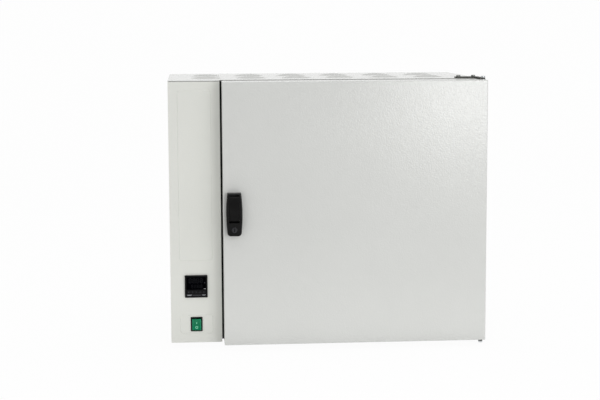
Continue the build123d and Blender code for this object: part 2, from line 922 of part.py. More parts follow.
# Heating element: a ring round the impeller with two legs out through the back
element_y = (impeller_front + impeller_back) / 2
leg_angle = 180 / pi * element_leg_spacing / 2 / element_ring_radius
ring_face = Pos(element_ring_radius, 0, 0) * (Plane.XZ * Circle(element_radius))
ring = revolve(ring_face, Axis.Z, 360 - 2 * leg_angle)
ring = Rot(0, 0, -90 + leg_angle) * ring
ring = Pos(chamber_x, element_y, chamber_z) * Rot(90, 0, 0) * ring
heating_element = ring
element_back = inner_wall_y + sheet + element_tail
for side in (-1, 1):
    start_x = chamber_x + side * element_ring_radius * sin(radians(leg_angle))
    start_z = chamber_z - element_ring_radius * cos(radians(leg_angle))
    leg_x = chamber_x + side * element_leg_spacing / 2
    leg_z = chamber_z - element_ring_radius
    heating_element += Pos(start_x, element_y, start_z) * Sphere(element_elbow_radius)
    heating_element += rod("Y", (leg_x, leg_z), (element_y, element_back), element_radius)
    heating_element += rod(
        "Y", (leg_x, leg_z), (chamber_back - element_gland_height, chamber_back), element_gland_radius
    )
    heating_element += Pos(leg_x, element_y, leg_z) * Sphere(element_elbow_radius)
save(heating_element, "heating_element")

# Temperature probe through the left wall, with its nut in the control space
probe_tip = chamber_left + rack_stand_off + ledge_width
probe_line = (probe_y, probe_z)
nut_x = (partition_right - sheet - probe_nut_length, partition_right - sheet)
temperature_sensor = rod("X", probe_line, (nut_x[1] - probe_tail, probe_tip), probe_radius)
temperature_sensor += rod("X", probe_line, nut_x, probe_nut_radius)
save(temperature_sensor, "temperature_sensor")

# Exhaust tube with its damper
exhaust_end = case_back + exhaust_stub
exhaust_bore_radius = exhaust_outer_radius - exhaust_wall
axle_y = case_back + damper_axle_from_case
exhaust_centre = (exhaust_x, exhaust_z)
exhaust_start = chamber_back - exhaust_inside
exhaust_flange_y = (case_back, case_back + exhaust_flange_sheet)
exhaust_tube = rod("Y", exhaust_centre, (exhaust_start, exhaust_end), exhaust_outer_radius)
exhaust_tube += rod("Y", exhaust_centre, exhaust_flange_y, exhaust_outer_radius + exhaust_flange_width)
bead_y = (exhaust_end - hose_length - bead_width, exhaust_end - hose_length)
exhaust_tube += rod("Y", exhaust_centre, bead_y, exhaust_outer_radius + bead_rise)
exhaust_collar_y = (chamber_back - exhaust_flange_sheet, chamber_back)
exhaust_tube += rod("Y", exhaust_centre, exhaust_collar_y, exhaust_outer_radius + exhaust_collar_width)
exhaust_tube -= rod("Y", exhaust_centre, (exhaust_start - sheet, exhaust_end + sheet), exhaust_bore_radius)
damper_top = exhaust_z + exhaust_outer_radius
damper_bottom = exhaust_z - exhaust_outer_radius
exhaust_tube -= rod(
    "Z", (exhaust_x, axle_y), (damper_bottom - sheet, damper_top + sheet), damper_axle_radius + running_gap
)
save(exhaust_tube, "exhaust_tube")

damper_y = (axle_y - damper_sheet / 2, axle_y + damper_sheet / 2)
knob_low = damper_top + damper_knob_room
knob_high = knob_low + damper_knob_height
vent_damper = rod("Y", exhaust_centre, damper_y, exhaust_bore_radius - damper_gap)
axle_z = (damper_bottom - damper_tail, knob_low + sheet)
vent_damper += rod("Z", (exhaust_x, axle_y), axle_z, damper_axle_radius)
damper_knob = rod("Z", (exhaust_x, axle_y), (knob_low, knob_high), damper_knob_radius)
damper_knob = fillet(damper_knob.edges().group_by(Axis.Z)[-1], damper_knob_round)
damper_knob += slab(
    (exhaust_x - damper_knob_radius, exhaust_x + damper_knob_radius),
    (axle_y - damper_grip_width / 2, axle_y + damper_grip_width / 2),
    (knob_high - sheet, knob_high + damper_grip_height - sheet),
)
save(vent_damper + damper_knob, "vent_damper")

# Mains inlet: a three-pin appliance socket in the rear panel
inlet_back = case_back + inlet_flange_sheet
inlet_front = case_back - inlet_depth
socket_floor = inlet_front + inlet_floor
mains_inlet = tile(
    (fascia_x, inlet_z), (inlet_flange_width, inlet_flange_height), inlet_corner, (case_back, inlet_back)
)
mains_inlet += slab(
    (fascia_x - inlet_width / 2, fascia_x + inlet_width / 2),
    (inlet_front, inlet_back),
    (inlet_z - inlet_height / 2, inlet_z + inlet_height / 2),
)
mains_inlet -= slab(
    (fascia_x - inlet_width / 2 + inlet_wall, fascia_x + inlet_width / 2 - inlet_wall),
    (socket_floor, inlet_back + sheet),
    (inlet_z - inlet_height / 2 + inlet_wall, inlet_z + inlet_height / 2 - inlet_wall),
)
inlet_pins = (
    (-inlet_pin_spacing, inlet_pin_rise),
    (0, inlet_earth_rise),
    (inlet_pin_spacing, inlet_pin_rise),
)
mains_inlet += [
    slab(
        (fascia_x + pin_x - inlet_pin_width / 2, fascia_x + pin_x + inlet_pin_width / 2),
        (socket_floor - sheet, inlet_back - inlet_pin_setback),
        (inlet_z + pin_z - inlet_pin_height / 2, inlet_z + pin_z + inlet_pin_height / 2),
    )
    for pin_x, pin_z in inlet_pins
]
save(mains_inlet, "mains_inlet")

# Relay and its heat sink on the partition, and the terminal block under them
sink_right = partition_right - sheet
sink_face = sink_right - sink_plate
sink_middle = fascia_y + case_depth * sink_share
sink_y = (sink_middle - sink_length / 2, sink_middle + sink_length / 2)
sink_z = (chamber_z - sink_height / 2, chamber_z + sink_height / 2)
relay_y = (sink_middle - relay_length / 2, sink_middle + relay_length / 2)
relay_z = (chamber_z - relay_height / 2, chamber_z + relay_height / 2)
relay_left = sink_face - relay_depth
heat_sink = slab((sink_face, sink_right), sink_y, sink_z)
fin_pitch = (sink_length - sink_fin_sheet) / (sink_fins - 1)
for fin in range(sink_fins):
    fin_y = sink_y[0] + fin_pitch * fin
    if fin_y + sink_fin_sheet < relay_y[0] or fin_y > relay_y[1]:
        heat_sink += slab((sink_face - sink_fin_height, sink_right), (fin_y, fin_y + sink_fin_sheet), sink_z)
save(heat_sink, "heat_sink")

solid_state_relay = slab((relay_left, sink_face), relay_y, relay_z)
for end_low, end_high in ((relay_z[0], relay_z[0] + relay_pocket), (relay_z[1] - relay_pocket, relay_z[1])):
    solid_state_relay -= slab(
        (relay_left, relay_left + relay_pocket_depth),
        (relay_y[0] + relay_wall, relay_y[1] - relay_wall),
        (end_low, end_high),
    )
save(solid_state_relay, "solid_state_relay")

block_y = (sink_middle - block_length / 2, sink_middle + block_length / 2)
block_z = (case_bottom + block_above_bottom, case_bottom + block_above_bottom + block_height)
block_left = sink_right - block_depth
terminal_block = slab((block_left, sink_right), block_y, block_z)
for way in range(block_ways):
    way_y = sink_middle + block_way_pitch * (way - (block_ways - 1) / 2)
    way_x = (block_left - sheet, block_left + block_way_depth)
    terminal_block -= rod("X", (way_y, sum(block_z) / 2), way_x, block_way_radius)
save(terminal_block, "terminal_block")

# Controller: bezel, body with pockets for the keys, and the dark window
bezel_front = fascia_y - controller_proud
face_y = bezel_front + bezel_depth
controller_back = fascia_y + controller_depth
controller_top = controller_z + controller_size / 2
controller_centre = (fascia_x, controller_z)
bezel_size = (controller_size, controller_size)
bezel = tile(controller_centre, bezel_size, controller_corner, (bezel_front, fascia_y))
bezel = fillet(bezel.edges().group_by(Axis.Y)[0], bezel_depth)
face_size = controller_size - 2 * bezel_width
bezel -= tile(
    controller_centre, (face_size, face_size), cut_corner, (bezel_front - sheet, face_y)
)
controller_housing = bezel + tile(
    controller_centre, (controller_body, controller_body), cut_corner, (fascia_y, controller_back)
)
window_centre = (fascia_x, controller_top - window_drop - window_height / 2)
window_back = face_y + window_depth
window_size = (window_width, window_height)
controller_housing -= tile(
    window_centre, window_size, cut_corner, (bezel_front, window_back)
)
key_row_z = controller_top - controller_size + key_row_rise
key_places = [fascia_x + key_pitch * (number - (key_count - 1) / 2) for number in range(key_count)]
pocket_size = (key_width + 2 * sliding_gap, key_height + 2 * sliding_gap)
pocket_y = (bezel_front, face_y + key_pocket)
controller_housing -= [
    tile((key_x, key_row_z), pocket_size, pocket_corner, pocket_y) for key_x in key_places
]
save(controller_housing, "controller_housing")
window = tile(window_centre, window_size, cut_corner, (face_y + window_sunk, window_back))
save(window, "controller_window")

key_y = (face_y - key_proud, pocket_y[1] - key_travel - running_gap)
for number, key_x in enumerate(key_places, 1):
    key = tile((key_x, key_row_z), (key_width, key_height), key_corner, key_y)
    save(fillet(key.edges().group_by(Axis.Y)[0], sliding_gap), f"controller_key_{number}")

# Mains switch on the lower pad: housing, and the rocker in its off position
switch_seat = fascia_y - pad_height
switch_front = switch_seat - switch_proud
switch_back = fascia_y + switch_depth
cavity_half_width = rocker_width / 2 + sliding_gap
cavity_half_height = switch_height / 2 - switch_wall
trunnion_half = rocker_width / 2 + trunnion_length
trunnion_y = fascia_y
trunnion_line = (trunnion_y, switch_z)
switch_centre = (fascia_x, switch_z)
switch_housing = tile(switch_centre, (switch_width, switch_height), switch_rim, (switch_front, switch_seat))
switch_housing = fillet(switch_housing.edges().group_by(Axis.Y)[0], switch_rim / 2)
switch_housing += tile(
    switch_centre, (switch_body_width, switch_body_height), cut_corner, (switch_seat, switch_back)
)
switch_housing -= slab(
    (fascia_x - cavity_half_width, fascia_x + cavity_half_width),
    (switch_front - sheet, fascia_y + switch_cavity_depth),
    (switch_z - cavity_half_height, switch_z + cavity_half_height),
)
switch_housing -= rod(
    "X",
    trunnion_line,
    (fascia_x - trunnion_half - running_gap, fascia_x + trunnion_half + running_gap),
    trunnion_radius + running_gap,
)
switch_housing += [
    slab(
        (fascia_x - spade_width / 2, fascia_x + spade_width / 2),
        (switch_back, switch_back + spade_length),
        (switch_z + spade_z - spade_sheet / 2, switch_z + spade_z + spade_sheet / 2),
    )
    for spade_z in (-spade_pitch, 0, spade_pitch)
]
save(switch_housing, "switch_housing")

# The rocker's two faces meet at its middle at the swing's angle; the lower one is pressed in
tilt = radians(rocker_swing / 2)
face_reach = trunnion_y - switch_front - panel_gap
face_length = cavity_half_height - panel_gap - face_reach * sin(tilt)
tip_z = face_length * cos(tilt)
tip_y = -face_reach - face_length * sin(tilt)
rocker_outline = Polyline(
    (-tip_z, tip_y),
    (0, -face_reach),
    (tip_z, tip_y),
    (tip_z - rocker_shoulder / 2, rocker_shoulder),
    (tip_z / 2, rocker_depth),
    (-tip_z / 2, rocker_depth),
    (-tip_z + rocker_shoulder / 2, rocker_shoulder),
    close=True,
)
rocker_plane = Plane((0, 0, 0), x_dir=(0, 0, 1), z_dir=(-1, 0, 0))
switch_rocker = extrude(rocker_plane * make_face(rocker_outline), rocker_width / 2, both=True)
switch_rocker += rod("X", (0, 0), (-trunnion_half, trunnion_half), trunnion_radius)
switch_rocker = Rot(rocker_swing / 2, 0, 0) * switch_rocker
save(Pos(fascia_x, trunnion_y, switch_z) * switch_rocker, "switch_rocker")

# Wiring in the control space, from terminal to terminal
def wire(points):
    """One insulated wire along straight runs with rounded corners."""
    radii = []
    for before, corner, after in zip(points, points[1:], points[2:]):
        incoming = Vector(*corner) - Vector(*before)
        outgoing = Vector(*after) - Vector(*corner)
        turn = incoming.get_angle(outgoing)
        radii.append(bend_share * min(incoming.length, outgoing.length) / tan(radians(turn / 2)))
    print("wire bend radii:", ", ".join(f"{radius:.0f}" for radius in radii))
    path = FilletPolyline(*points, radius=radii)
    section = Plane(origin=points[0], z_dir=Vector(*points[1]) - Vector(*points[0])) * Circle(wire_radius)
    return sweep(section, path)


spade_y = switch_back + spade_length
wire_x = relay_left + relay_pocket_depth / 2
inlet_x = fascia_x - inlet_pin_spacing
inlet_to_switch = [
    (inlet_x, inlet_front, inlet_z),
    (inlet_x, inlet_front - 4 * wire_spacing, inlet_z),
    (inlet_x - wire_spacing / 2, inlet_front - 10 * wire_spacing, inlet_z - 2 * wire_spacing),
    (inlet_x - wire_spacing / 2, spade_y + 11 * wire_spacing, inlet_z - 3 * wire_spacing),
    (fascia_x, spade_y + 5 * wire_spacing, switch_z - spade_pitch),
    (fascia_x, spade_y, switch_z - spade_pitch),
]
switch_to_controller = [
    (fascia_x, spade_y, switch_z + spade_pitch),
    (fascia_x, spade_y + 4 * wire_spacing, switch_z + spade_pitch),
    (fascia_x + wire_spacing / 2, controller_back + 4 * wire_spacing, (switch_z + controller_z) / 2),
    (fascia_x + wire_spacing / 2, controller_back + 4 * wire_spacing, controller_z - wire_spacing),
    (fascia_x + wire_spacing / 2, controller_back, controller_z - wire_spacing),
]
controller_to_relay = [
    (fascia_x - wire_spacing / 2, controller_back, controller_z + wire_spacing),
    (fascia_x - wire_spacing / 2, controller_back + 4 * wire_spacing, controller_z + wire_spacing),
    (fascia_x, relay_y[0] - 3 * wire_spacing, controller_z + 6 * wire_spacing),
    (wire_x, relay_y[0] + wire_spacing, relay_z[0] - 3 * wire_spacing),
    (wire_x, relay_y[0] + wire_spacing, relay_z[0] + relay_pocket),
]
routes = (inlet_to_switch, switch_to_controller, controller_to_relay)
save(group(wire(route) for route in routes), "wiring_loom")

# Hinge plates: a bar on the case with an arm that reaches over the door's corner
def hinge_plate(low):
    """One plate; low is its underside."""
    z = (low, low + hinge_plate_thickness)
    plate = slab((bar_right - hinge_bar_length, bar_right), (bar_front, bar_front + hinge_bar_depth), z)
    plate += slab((arm_left, bar_right), (hinge_y, bar_front + sheet), z)
    plate += rod("Z", (hinge_x, hinge_y), z, hinge_arm_width / 2)
    pin_hole = rod("Z", (hinge_x, hinge_y), (z[0] - sheet, z[1] + sheet), hinge_stem_radius)
    return plate - [pin_hole, *hinge_screw_holes(low)]


upper_plate_low = case_top
lower_plate_low = case_bottom - hinge_plate_thickness
save(hinge_plate(upper_plate_low), "hinge_plate_upper")
save(hinge_plate(lower_plate_low), "hinge_plate_lower")

# Hinge pins: a stem held in the plate, a collar that spaces the door, a pin in the door's block
def hinge_pin(plate_face, outward):
    """A pin; plate_face is the plate's side towards the door, outward points away from the door."""
    centre = (hinge_x, hinge_y)
    inner = plate_face - outward * door_end_gap
    outer = plate_face + outward * hinge_plate_thickness
    pin = rod("Z", centre, sorted((inner, inner - outward * hinge_pin_reach)), hinge_pin_radius)
    pin += rod("Z", centre, sorted((plate_face, inner)), hinge_collar_radius)
    pin += rod("Z", centre, sorted((plate_face, outer)), hinge_stem_radius)
    head = rod("Z", centre, sorted((outer, outer + outward * hinge_pin_head)), hinge_arm_width / 2)
    return pin + fillet(head.edges().group_by(Axis.Z)[-1 if outward > 0 else 0], 1.0)


hinge_pins = [hinge_pin(upper_plate_low, 1), hinge_pin(case_bottom, -1)]
save(group(hinge_pins), "hinge_pins")
hinge_screw_sizes = (
    hinge_plate_thickness + 2 * sheet + wool_gap / 2,
    hinge_screw_radius,
    hinge_screw_head_radius,
    hinge_screw_head_height,
)
hinge_screws = [
    screw((x, y, seat), outward, *hinge_screw_sizes)
    for x, y in hinge_screw_places
    for seat, outward in ((upper_plate_low + hinge_plate_thickness, "up"), (lower_plate_low, "down"))
]
save(group(hinge_screws), "hinge_screws")

# Door skin: a deep folded tray, open at the back inside a lip
block_z_top = (door_high - sheet - hinge_block_height, door_high - sheet)
block_z_low = (door_low + sheet, door_low + sheet + hinge_block_height)
pin_hole_radius = hinge_pin_radius + running_gap


def pin_holes(radius):
    """The hinge line's holes through the door's ends."""
    top = rod("Z", (hinge_x, hinge_y), (door_high - hinge_pin_reach - 2 * sheet, door_high + sheet), radius)
    low = rod("Z", (hinge_x, hinge_y), (door_low - sheet, door_low + hinge_pin_reach + 2 * sheet), radius)
    return top + low


door_skin = slab((door_left, door_right), (door_front, door_back), (door_low, door_high))
front_edges = door_skin.edges().group_by(Axis.Y)[0]
door_skin = fillet(front_edges + door_skin.edges().filter_by(Axis.Y), door_bend)
door_skin -= slab(
    (door_left + sheet, door_right - sheet),
    (door_front + sheet, door_back - sheet),
    (door_low + sheet, door_high - sheet),
)
door_skin -= slab(
    (door_left + door_lip, door_right - door_lip),
    (door_back - 2 * sheet, door_back + sheet),
    (door_low + door_lip, door_high - door_lip),
)
door_skin -= pin_holes(pin_hole_radius)
lock_z = handle_low + lock_above_bottom
door_skin -= slab(
    (handle_x - handle_bottom_width / 2 + handle_rim, handle_x + handle_bottom_width / 2 - handle_rim),
    (door_front - sheet, door_front + 2 * sheet),
    (lock_z + lock_radius + handle_rim, handle_high - skin_cut_margin),
)
lock_centre = (handle_x, lock_z)
door_skin -= rod("Y", lock_centre, (door_front - sheet, door_front + 2 * sheet), lock_radius + running_gap)

# Door screws through the inner panel's rim into the lip
panel_screw_places = [
    (x, door_back + liner_sheet, door_low + (door_high - door_low) * share)
    for x in (door_left + panel_screw_inset, door_right - panel_screw_inset)
    for share in (0.12, 0.38, 0.64, 0.9)
]
panel_screw_places += [
    (door_left + (door_right - door_left) * share, door_back + liner_sheet, z)
    for z in (door_low + panel_screw_inset, door_high - panel_screw_inset)
    for share in (0.15, 0.5, 0.85)
]
panel_screw_holes = [screw_hole(place, "Y", 3 * sheet) for place in panel_screw_places]
door_skin -= panel_screw_holes
save(door_skin, "door_skin")
save(group(screw(place, "back", panel_screw_length) for place in panel_screw_places), "door_screws")

# Hinge blocks behind the skin's corners, which the pins turn in
hinge_block_left = door_right - sheet - hinge_block_width
block_front = door_front + sheet
block_back = hinge_y + hinge_block_behind_pin


def hinge_block(z):
    """A steel block in the door's corner, with the pin's bore."""
    block = slab((hinge_block_left, door_right - sheet), (block_front, block_back), z)
    return block - pin_holes(pin_hole_radius)


save(group([hinge_block(block_z_top), hinge_block(block_z_low)]), "hinge_blocks")

# Inner panel of the door: a flat rim and a plug that enters the chamber
rim_y = (door_back, door_back + liner_sheet)
door_inner_panel = slab(
    (door_left + panel_inset, door_right - panel_inset),
    rim_y,
    (door_low + panel_inset, door_high - panel_inset),
)
plug_outer = chamber_box(-plug_gap, (door_back, plug_back))
plug_edges = plug_outer.edges().group_by(Axis.Y)[-1]
plug_outer = fillet(plug_edges + plug_outer.edges().filter_by(Axis.Y), plug_bend)
plug_inner = chamber_box(-plug_gap - liner_sheet, (door_back - liner_sheet, plug_back - liner_sheet))
plug_inner_edges = plug_inner.edges().group_by(Axis.Y)[-1]
plug_inner = fillet(plug_inner_edges + plug_inner.edges().filter_by(Axis.Y), plug_bend - liner_sheet)
door_inner_panel = door_inner_panel + plug_outer - [plug_inner, latch_slot, *panel_screw_holes]
save(door_inner_panel, "door_inner_panel")

# Gasket on the rim, outside the chamber's mouth
gasket_y = (rim_y[1], chamber_front - gasket_clearance)
gasket_outer = gasket_offset + gasket_width
door_gasket = chamber_box(gasket_outer, gasket_y)
door_gasket = fillet(door_gasket.edges().filter_by(Axis.Y), gasket_outer)
hollow = chamber_box(gasket_offset, (gasket_y[0] - sheet, gasket_y[1] + sheet))
door_gasket -= fillet(hollow.edges().filter_by(Axis.Y), gasket_offset)
door_gasket = fillet(door_gasket.edges().group_by(Axis.Y)[-1], gasket_round)
save(door_gasket, "door_gasket")

# Latch case behind the handle, with the slide and its hook
case_half_width = slide_width / 2 + latch_case_side
latch_case_y = (door_front + sheet, door_front + sheet + latch_case_depth)
latch_case_z = (handle_low + latch_case_end, handle_high - latch_case_end)
slide_front = door_front + sheet + slide_behind_skin
slide_y = (slide_front, slide_front + slide_thickness)
lever_axis_z = handle_low + lever_above_bottom
lever_axis_y = door_front - handle_proud + lever_axis_depth
slide_low = lever_axis_z - slide_below_axis
slide_high = handle_high - latch_case_end - spring_room - latch_lift
slide_half = slide_width / 2
latch_case = slab((handle_x - case_half_width, handle_x + case_half_width), latch_case_y, latch_case_z)
latch_case -= slab(
    (handle_x - slide_half - sliding_gap, handle_x + slide_half + sliding_gap),
    (latch_case_y[0] - sheet, latch_case_y[1] - latch_wall),
    (latch_case_z[0] + latch_wall, latch_case_z[1] - latch_wall),
)
latch_case -= slab(
    (handle_x - hook_thickness / 2 - hook_end_room, handle_x + hook_thickness / 2 + hook_end_room),
    (latch_case_y[1] - 2 * latch_wall, latch_case_y[1] + sheet),
    (hook_low - hook_end_room, hook_high + latch_lift + hook_end_room),
)
save(latch_case, "latch_case")

hook_reach = frame_back + hook_reach_past_frame
nose_front = frame_back + keeper_sheet + panel_gap
latch_slide = slab((handle_x - slide_half, handle_x + slide_half), slide_y, (slide_low, slide_high))
hook_x = (handle_x - hook_thickness / 2, handle_x + hook_thickness / 2)
latch_slide += slab(hook_x, (slide_y[0], hook_reach), (hook_low, hook_high))
latch_slide += slab(hook_x, (nose_front, hook_reach), (hook_low - hook_nose, hook_low))
arm_tip_y = slide_y[1] + arm_reach
latch_slide -= slab(
    (handle_x - arm_width / 2 - panel_gap, handle_x + arm_width / 2 + panel_gap),
    (slide_y[0] - sheet, slide_y[1] + sheet),
    (lever_axis_z - arm_tip_radius - arm_play, lever_axis_z + arm_tip_radius + arm_play),
)
save(latch_slide, "latch_slide")

# Latch spring: a coil between the case's roof and the slide's top
spring_low = slide_high + spring_wire_radius + running_gap
spring_high = latch_case_z[1] - latch_wall - spring_wire_radius - running_gap
spring_path = Helix((spring_high - spring_low) / spring_coils, spring_high - spring_low, spring_radius)
spring_start = Plane(origin=spring_path @ 0, z_dir=spring_path % 0)
latch_spring = sweep(spring_start * Circle(spring_wire_radius), spring_path, is_frenet=True)
save(Pos(handle_x, sum(slide_y) / 2, spring_low) * latch_spring, "latch_spring")


# Handle base: a barrel-shaped shell with the pocket for the lever and the bore for the lock
def handle_face():
    """The handle's outline, seen from the front."""
    top = handle_top_width / 2
    waist = handle_waist_width / 2
    foot_half = handle_bottom_width / 2
    high = handle_high
    low = handle_low
    waist_z = handle_z + handle_waist_rise
    waist_low = low + handle_corner
    side = foot_half + handle_corner * 0.45
    heel = foot_half - handle_corner * 0.7
    turn_z = low + handle_corner * 0.25
    return make_face(
        [
            Line((-top, high), (top, high)),
            ThreePointArc((top, high), (waist, waist_z), (side, waist_low)),
            ThreePointArc((side, waist_low), (foot_half, turn_z), (heel, low)),
            Line((heel, low), (-heel, low)),
            ThreePointArc((-heel, low), (-foot_half, turn_z), (-side, waist_low)),
            ThreePointArc((-side, waist_low), (-waist, waist_z), (-top, high)),
        ]
    )


handle_front = door_front - handle_proud
handle_base = Pos(handle_x, door_front, 0) * extrude(Plane.XZ * handle_face(), handle_proud)
handle_base = fillet(handle_base.edges().group_by(Axis.Y)[0], handle_round)
pocket_half = handle_top_width / 2 - handle_rim
pocket_low = lever_axis_z - lever_hub_radius - panel_gap
pocket_high = handle_high - handle_rim
pocket_floor = door_front - handle_floor
handle_base -= slab(
    (handle_x - pocket_half, handle_x + pocket_half),
    (handle_front - sheet, pocket_floor),
    (pocket_low, pocket_high),
)
arm_sweep = (arm_tip_y - lever_axis_y) * sin(radians(lever_swing)) + arm_tip_radius
handle_base -= slab(
    (handle_x - arm_width / 2 - hook_end_room, handle_x + arm_width / 2 + hook_end_room),
    (pocket_floor - sheet, door_front + sheet),
    (pocket_low, lever_axis_z + arm_sweep + arm_play),
)
handle_base -= rod("Y", lock_centre, (handle_front - sheet, door_front + sheet), lock_radius + running_gap)
pin_half = pocket_half + lever_pin_seat
lever_axis = (lever_axis_y, lever_axis_z)
lever_pin = rod("X", lever_axis, (handle_x - pin_half, handle_x + pin_half), lever_pin_radius)
save(handle_base - lever_pin, "handle_base")
save(lever_pin, "lever_pin")

# Lever: a domed plate on a round hub, with the arm that lifts the slide
lever_half = pocket_half - panel_gap
lever_top = pocket_high - lever_slot
lever_front = handle_front + lever_setback
lever_back = lever_front + lever_sheet
lever_plate = slab((-lever_half, lever_half), (lever_front, lever_back), (lever_axis_z, lever_top))
lever_plate = fillet(lever_plate.edges().group_by(Axis.Y)[0].group_by(Axis.Z)[-1], lever_round)
finger_lip = slab(
    (-lever_half, lever_half),
    (lever_back - sheet, lever_back + finger_lip_depth),
    (lever_top - finger_lip_drop - finger_lip_height, lever_top - finger_lip_drop),
)
lever = lever_plate + finger_lip
lever += rod("X", lever_axis, (-lever_half, lever_half), lever_hub_radius)
lever += slab(
    (-arm_width / 2, arm_width / 2),
    (lever_axis_y, arm_tip_y),
    (lever_axis_z - arm_tip_radius, lever_axis_z + arm_tip_radius),
)
lever += rod("X", (arm_tip_y, lever_axis_z), (-arm_width / 2, arm_width / 2), arm_tip_radius)
lever -= rod("X", lever_axis, (-pocket_half, pocket_half), lever_pin_radius + running_gap)
save(Pos(handle_x, 0, 0) * lever, "handle_lever")

# Lock plug with a key slot
lock_front = handle_front + lock_setback
lock_plug = rod("Y", lock_centre, (lock_front, latch_case_y[0] + lock_behind_skin), lock_radius)
lock_plug -= slab(
    (handle_x - key_slot_width / 2, handle_x + key_slot_width / 2),
    (handle_front, lock_front + key_slot_depth),
    (lock_z - key_slot_height / 2, lock_z + key_slot_height / 2),
)
save(lock_plug, "lock_plug")

# Door insulation, cut for the latch
door_insulation = slab(
    (door_left + sheet + wool_gap, door_right - sheet - wool_gap),
    (door_front + sheet, door_back - sheet),
    (door_low + sheet + wool_gap, door_high - sheet - wool_gap),
)
plug_wool = chamber_box(-plug_gap - liner_sheet - wool_gap, (door_back - sheet, plug_back - liner_sheet))
plug_wool_edges = plug_wool.edges().group_by(Axis.Y)[-1]
door_insulation += fillet(plug_wool_edges + plug_wool.edges().filter_by(Axis.Y), plug_bend)
door_insulation -= slab(
    (handle_x - case_half_width - wool_gap, handle_x + case_half_width + wool_gap),
    (door_front, latch_case_y[1] + wool_gap),
    (latch_case_z[0] - wool_gap, latch_case_z[1] + wool_gap),
)
door_insulation -= slab(
    (handle_x - slot_half_width, handle_x + slot_half_width),
    (door_front, door_back + sheet),
    (slot_low, slot_high),
)
for block_z_span in (block_z_top, block_z_low):
    door_insulation -= slab(
        (hinge_block_left - wool_gap, door_right),
        (door_front, block_back + wool_gap),
        (block_z_span[0] - wool_gap, block_z_span[1] + wool_gap),
    )
door_insulation -= [
    rod("Y", (x, z), (y - panel_screw_length - wool_gap, y), screw_radius + wool_gap)
    for x, y, z in panel_screw_places
]
save(door_insulation, "door_insulation")
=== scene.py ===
import math

import bmesh
import bpy
from mathutils import Matrix, Vector


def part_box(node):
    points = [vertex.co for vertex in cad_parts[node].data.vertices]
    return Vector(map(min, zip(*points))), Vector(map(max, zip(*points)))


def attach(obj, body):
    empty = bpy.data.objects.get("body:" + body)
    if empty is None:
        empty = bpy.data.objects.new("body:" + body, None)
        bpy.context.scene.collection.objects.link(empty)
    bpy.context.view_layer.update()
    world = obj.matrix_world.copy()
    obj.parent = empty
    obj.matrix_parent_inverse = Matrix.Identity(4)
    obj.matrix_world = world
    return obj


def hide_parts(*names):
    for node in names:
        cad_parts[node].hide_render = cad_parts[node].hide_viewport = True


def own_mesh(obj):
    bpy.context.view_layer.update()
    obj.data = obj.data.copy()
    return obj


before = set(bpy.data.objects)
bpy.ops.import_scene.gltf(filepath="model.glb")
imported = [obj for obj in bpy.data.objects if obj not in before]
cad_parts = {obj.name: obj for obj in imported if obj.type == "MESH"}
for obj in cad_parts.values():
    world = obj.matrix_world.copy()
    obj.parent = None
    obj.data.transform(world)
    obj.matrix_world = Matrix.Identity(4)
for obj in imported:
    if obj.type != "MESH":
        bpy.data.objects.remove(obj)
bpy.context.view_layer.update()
MM = 0.001

# Camera
# It stands three metres in front of the oven, left of its middle and a little above its top, and
# looks slightly down and to the right with a moderate telephoto lens. The angles are in radians.
camera_place = (-0.2942, -3.206, 0.6776)
yaw, pitch, roll = -0.07863, 0.1204, -0.004678
level_right = Vector((math.cos(yaw), math.sin(yaw), 0))
level_forward = Vector((-math.sin(yaw), math.cos(yaw), 0))
look = math.cos(pitch) * level_forward - math.sin(pitch) * Vector((0, 0, 1))
level_up = math.sin(pitch) * level_forward + math.cos(pitch) * Vector((0, 0, 1))
camera_right = math.cos(roll) * level_right + math.sin(roll) * level_up
camera_up = -math.sin(roll) * level_right + math.cos(roll) * level_up
camera = bpy.data.objects.new("camera", bpy.data.cameras.new("camera"))
bpy.context.scene.collection.objects.link(camera)
camera.data.lens = 85.7
camera.data.sensor_width = 36.0
turned = Matrix((camera_right, camera_up, -look)).transposed().to_4x4()
camera.matrix_world = Matrix.Translation(camera_place) @ turned
bpy.context.scene.camera = camera


# Floor and backdrop
# One white sheet that lies on the table and curves up behind the oven, as in a photographer's
# bay. The camera and reflections see it close to white, and it keeps the oven's soft shadow.
def srgb(code):
    """A hex colour as the linear values that a shader takes."""
    channels = [int(code[i : i + 2], 16) / 255 for i in (1, 3, 5)]
    return [c / 12.92 if c <= 0.04045 else ((c + 0.055) / 1.055) ** 2.4 for c in channels] + [1.0]


def add_node(material, kind, inputs=(), **settings):
    """Adds a shader node; an input is a value for its socket, or a socket to link to it."""
    node = material.node_tree.nodes.new(kind)
    for name, value in settings.items():
        setattr(node, name, value)
    for name, value in dict(inputs).items():
        if isinstance(value, bpy.types.NodeSocket):
            material.node_tree.links.new(value, node.inputs[name])
        else:
            node.inputs[name].default_value = value
    return node


def new_material(name):
    """An empty material and the output node that its shader goes to."""
    material = bpy.data.materials.new(name)
    material.use_nodes = True
    material.node_tree.nodes.clear()
    return material, add_node(material, "ShaderNodeOutputMaterial")


def new_object(name, mesh, material):
    """A mesh object with its material, in the scene."""
    piece = bpy.data.objects.new(name, mesh)
    mesh.materials.clear()
    mesh.materials.append(material)
    bpy.context.scene.collection.objects.link(piece)
    return piece


def finished(name, shape, material):
    """The mesh object that a bmesh becomes once its shape is complete."""
    mesh = bpy.data.meshes.new(name)
    shape.to_mesh(mesh)
    shape.free()
    return new_object(name, mesh, material)


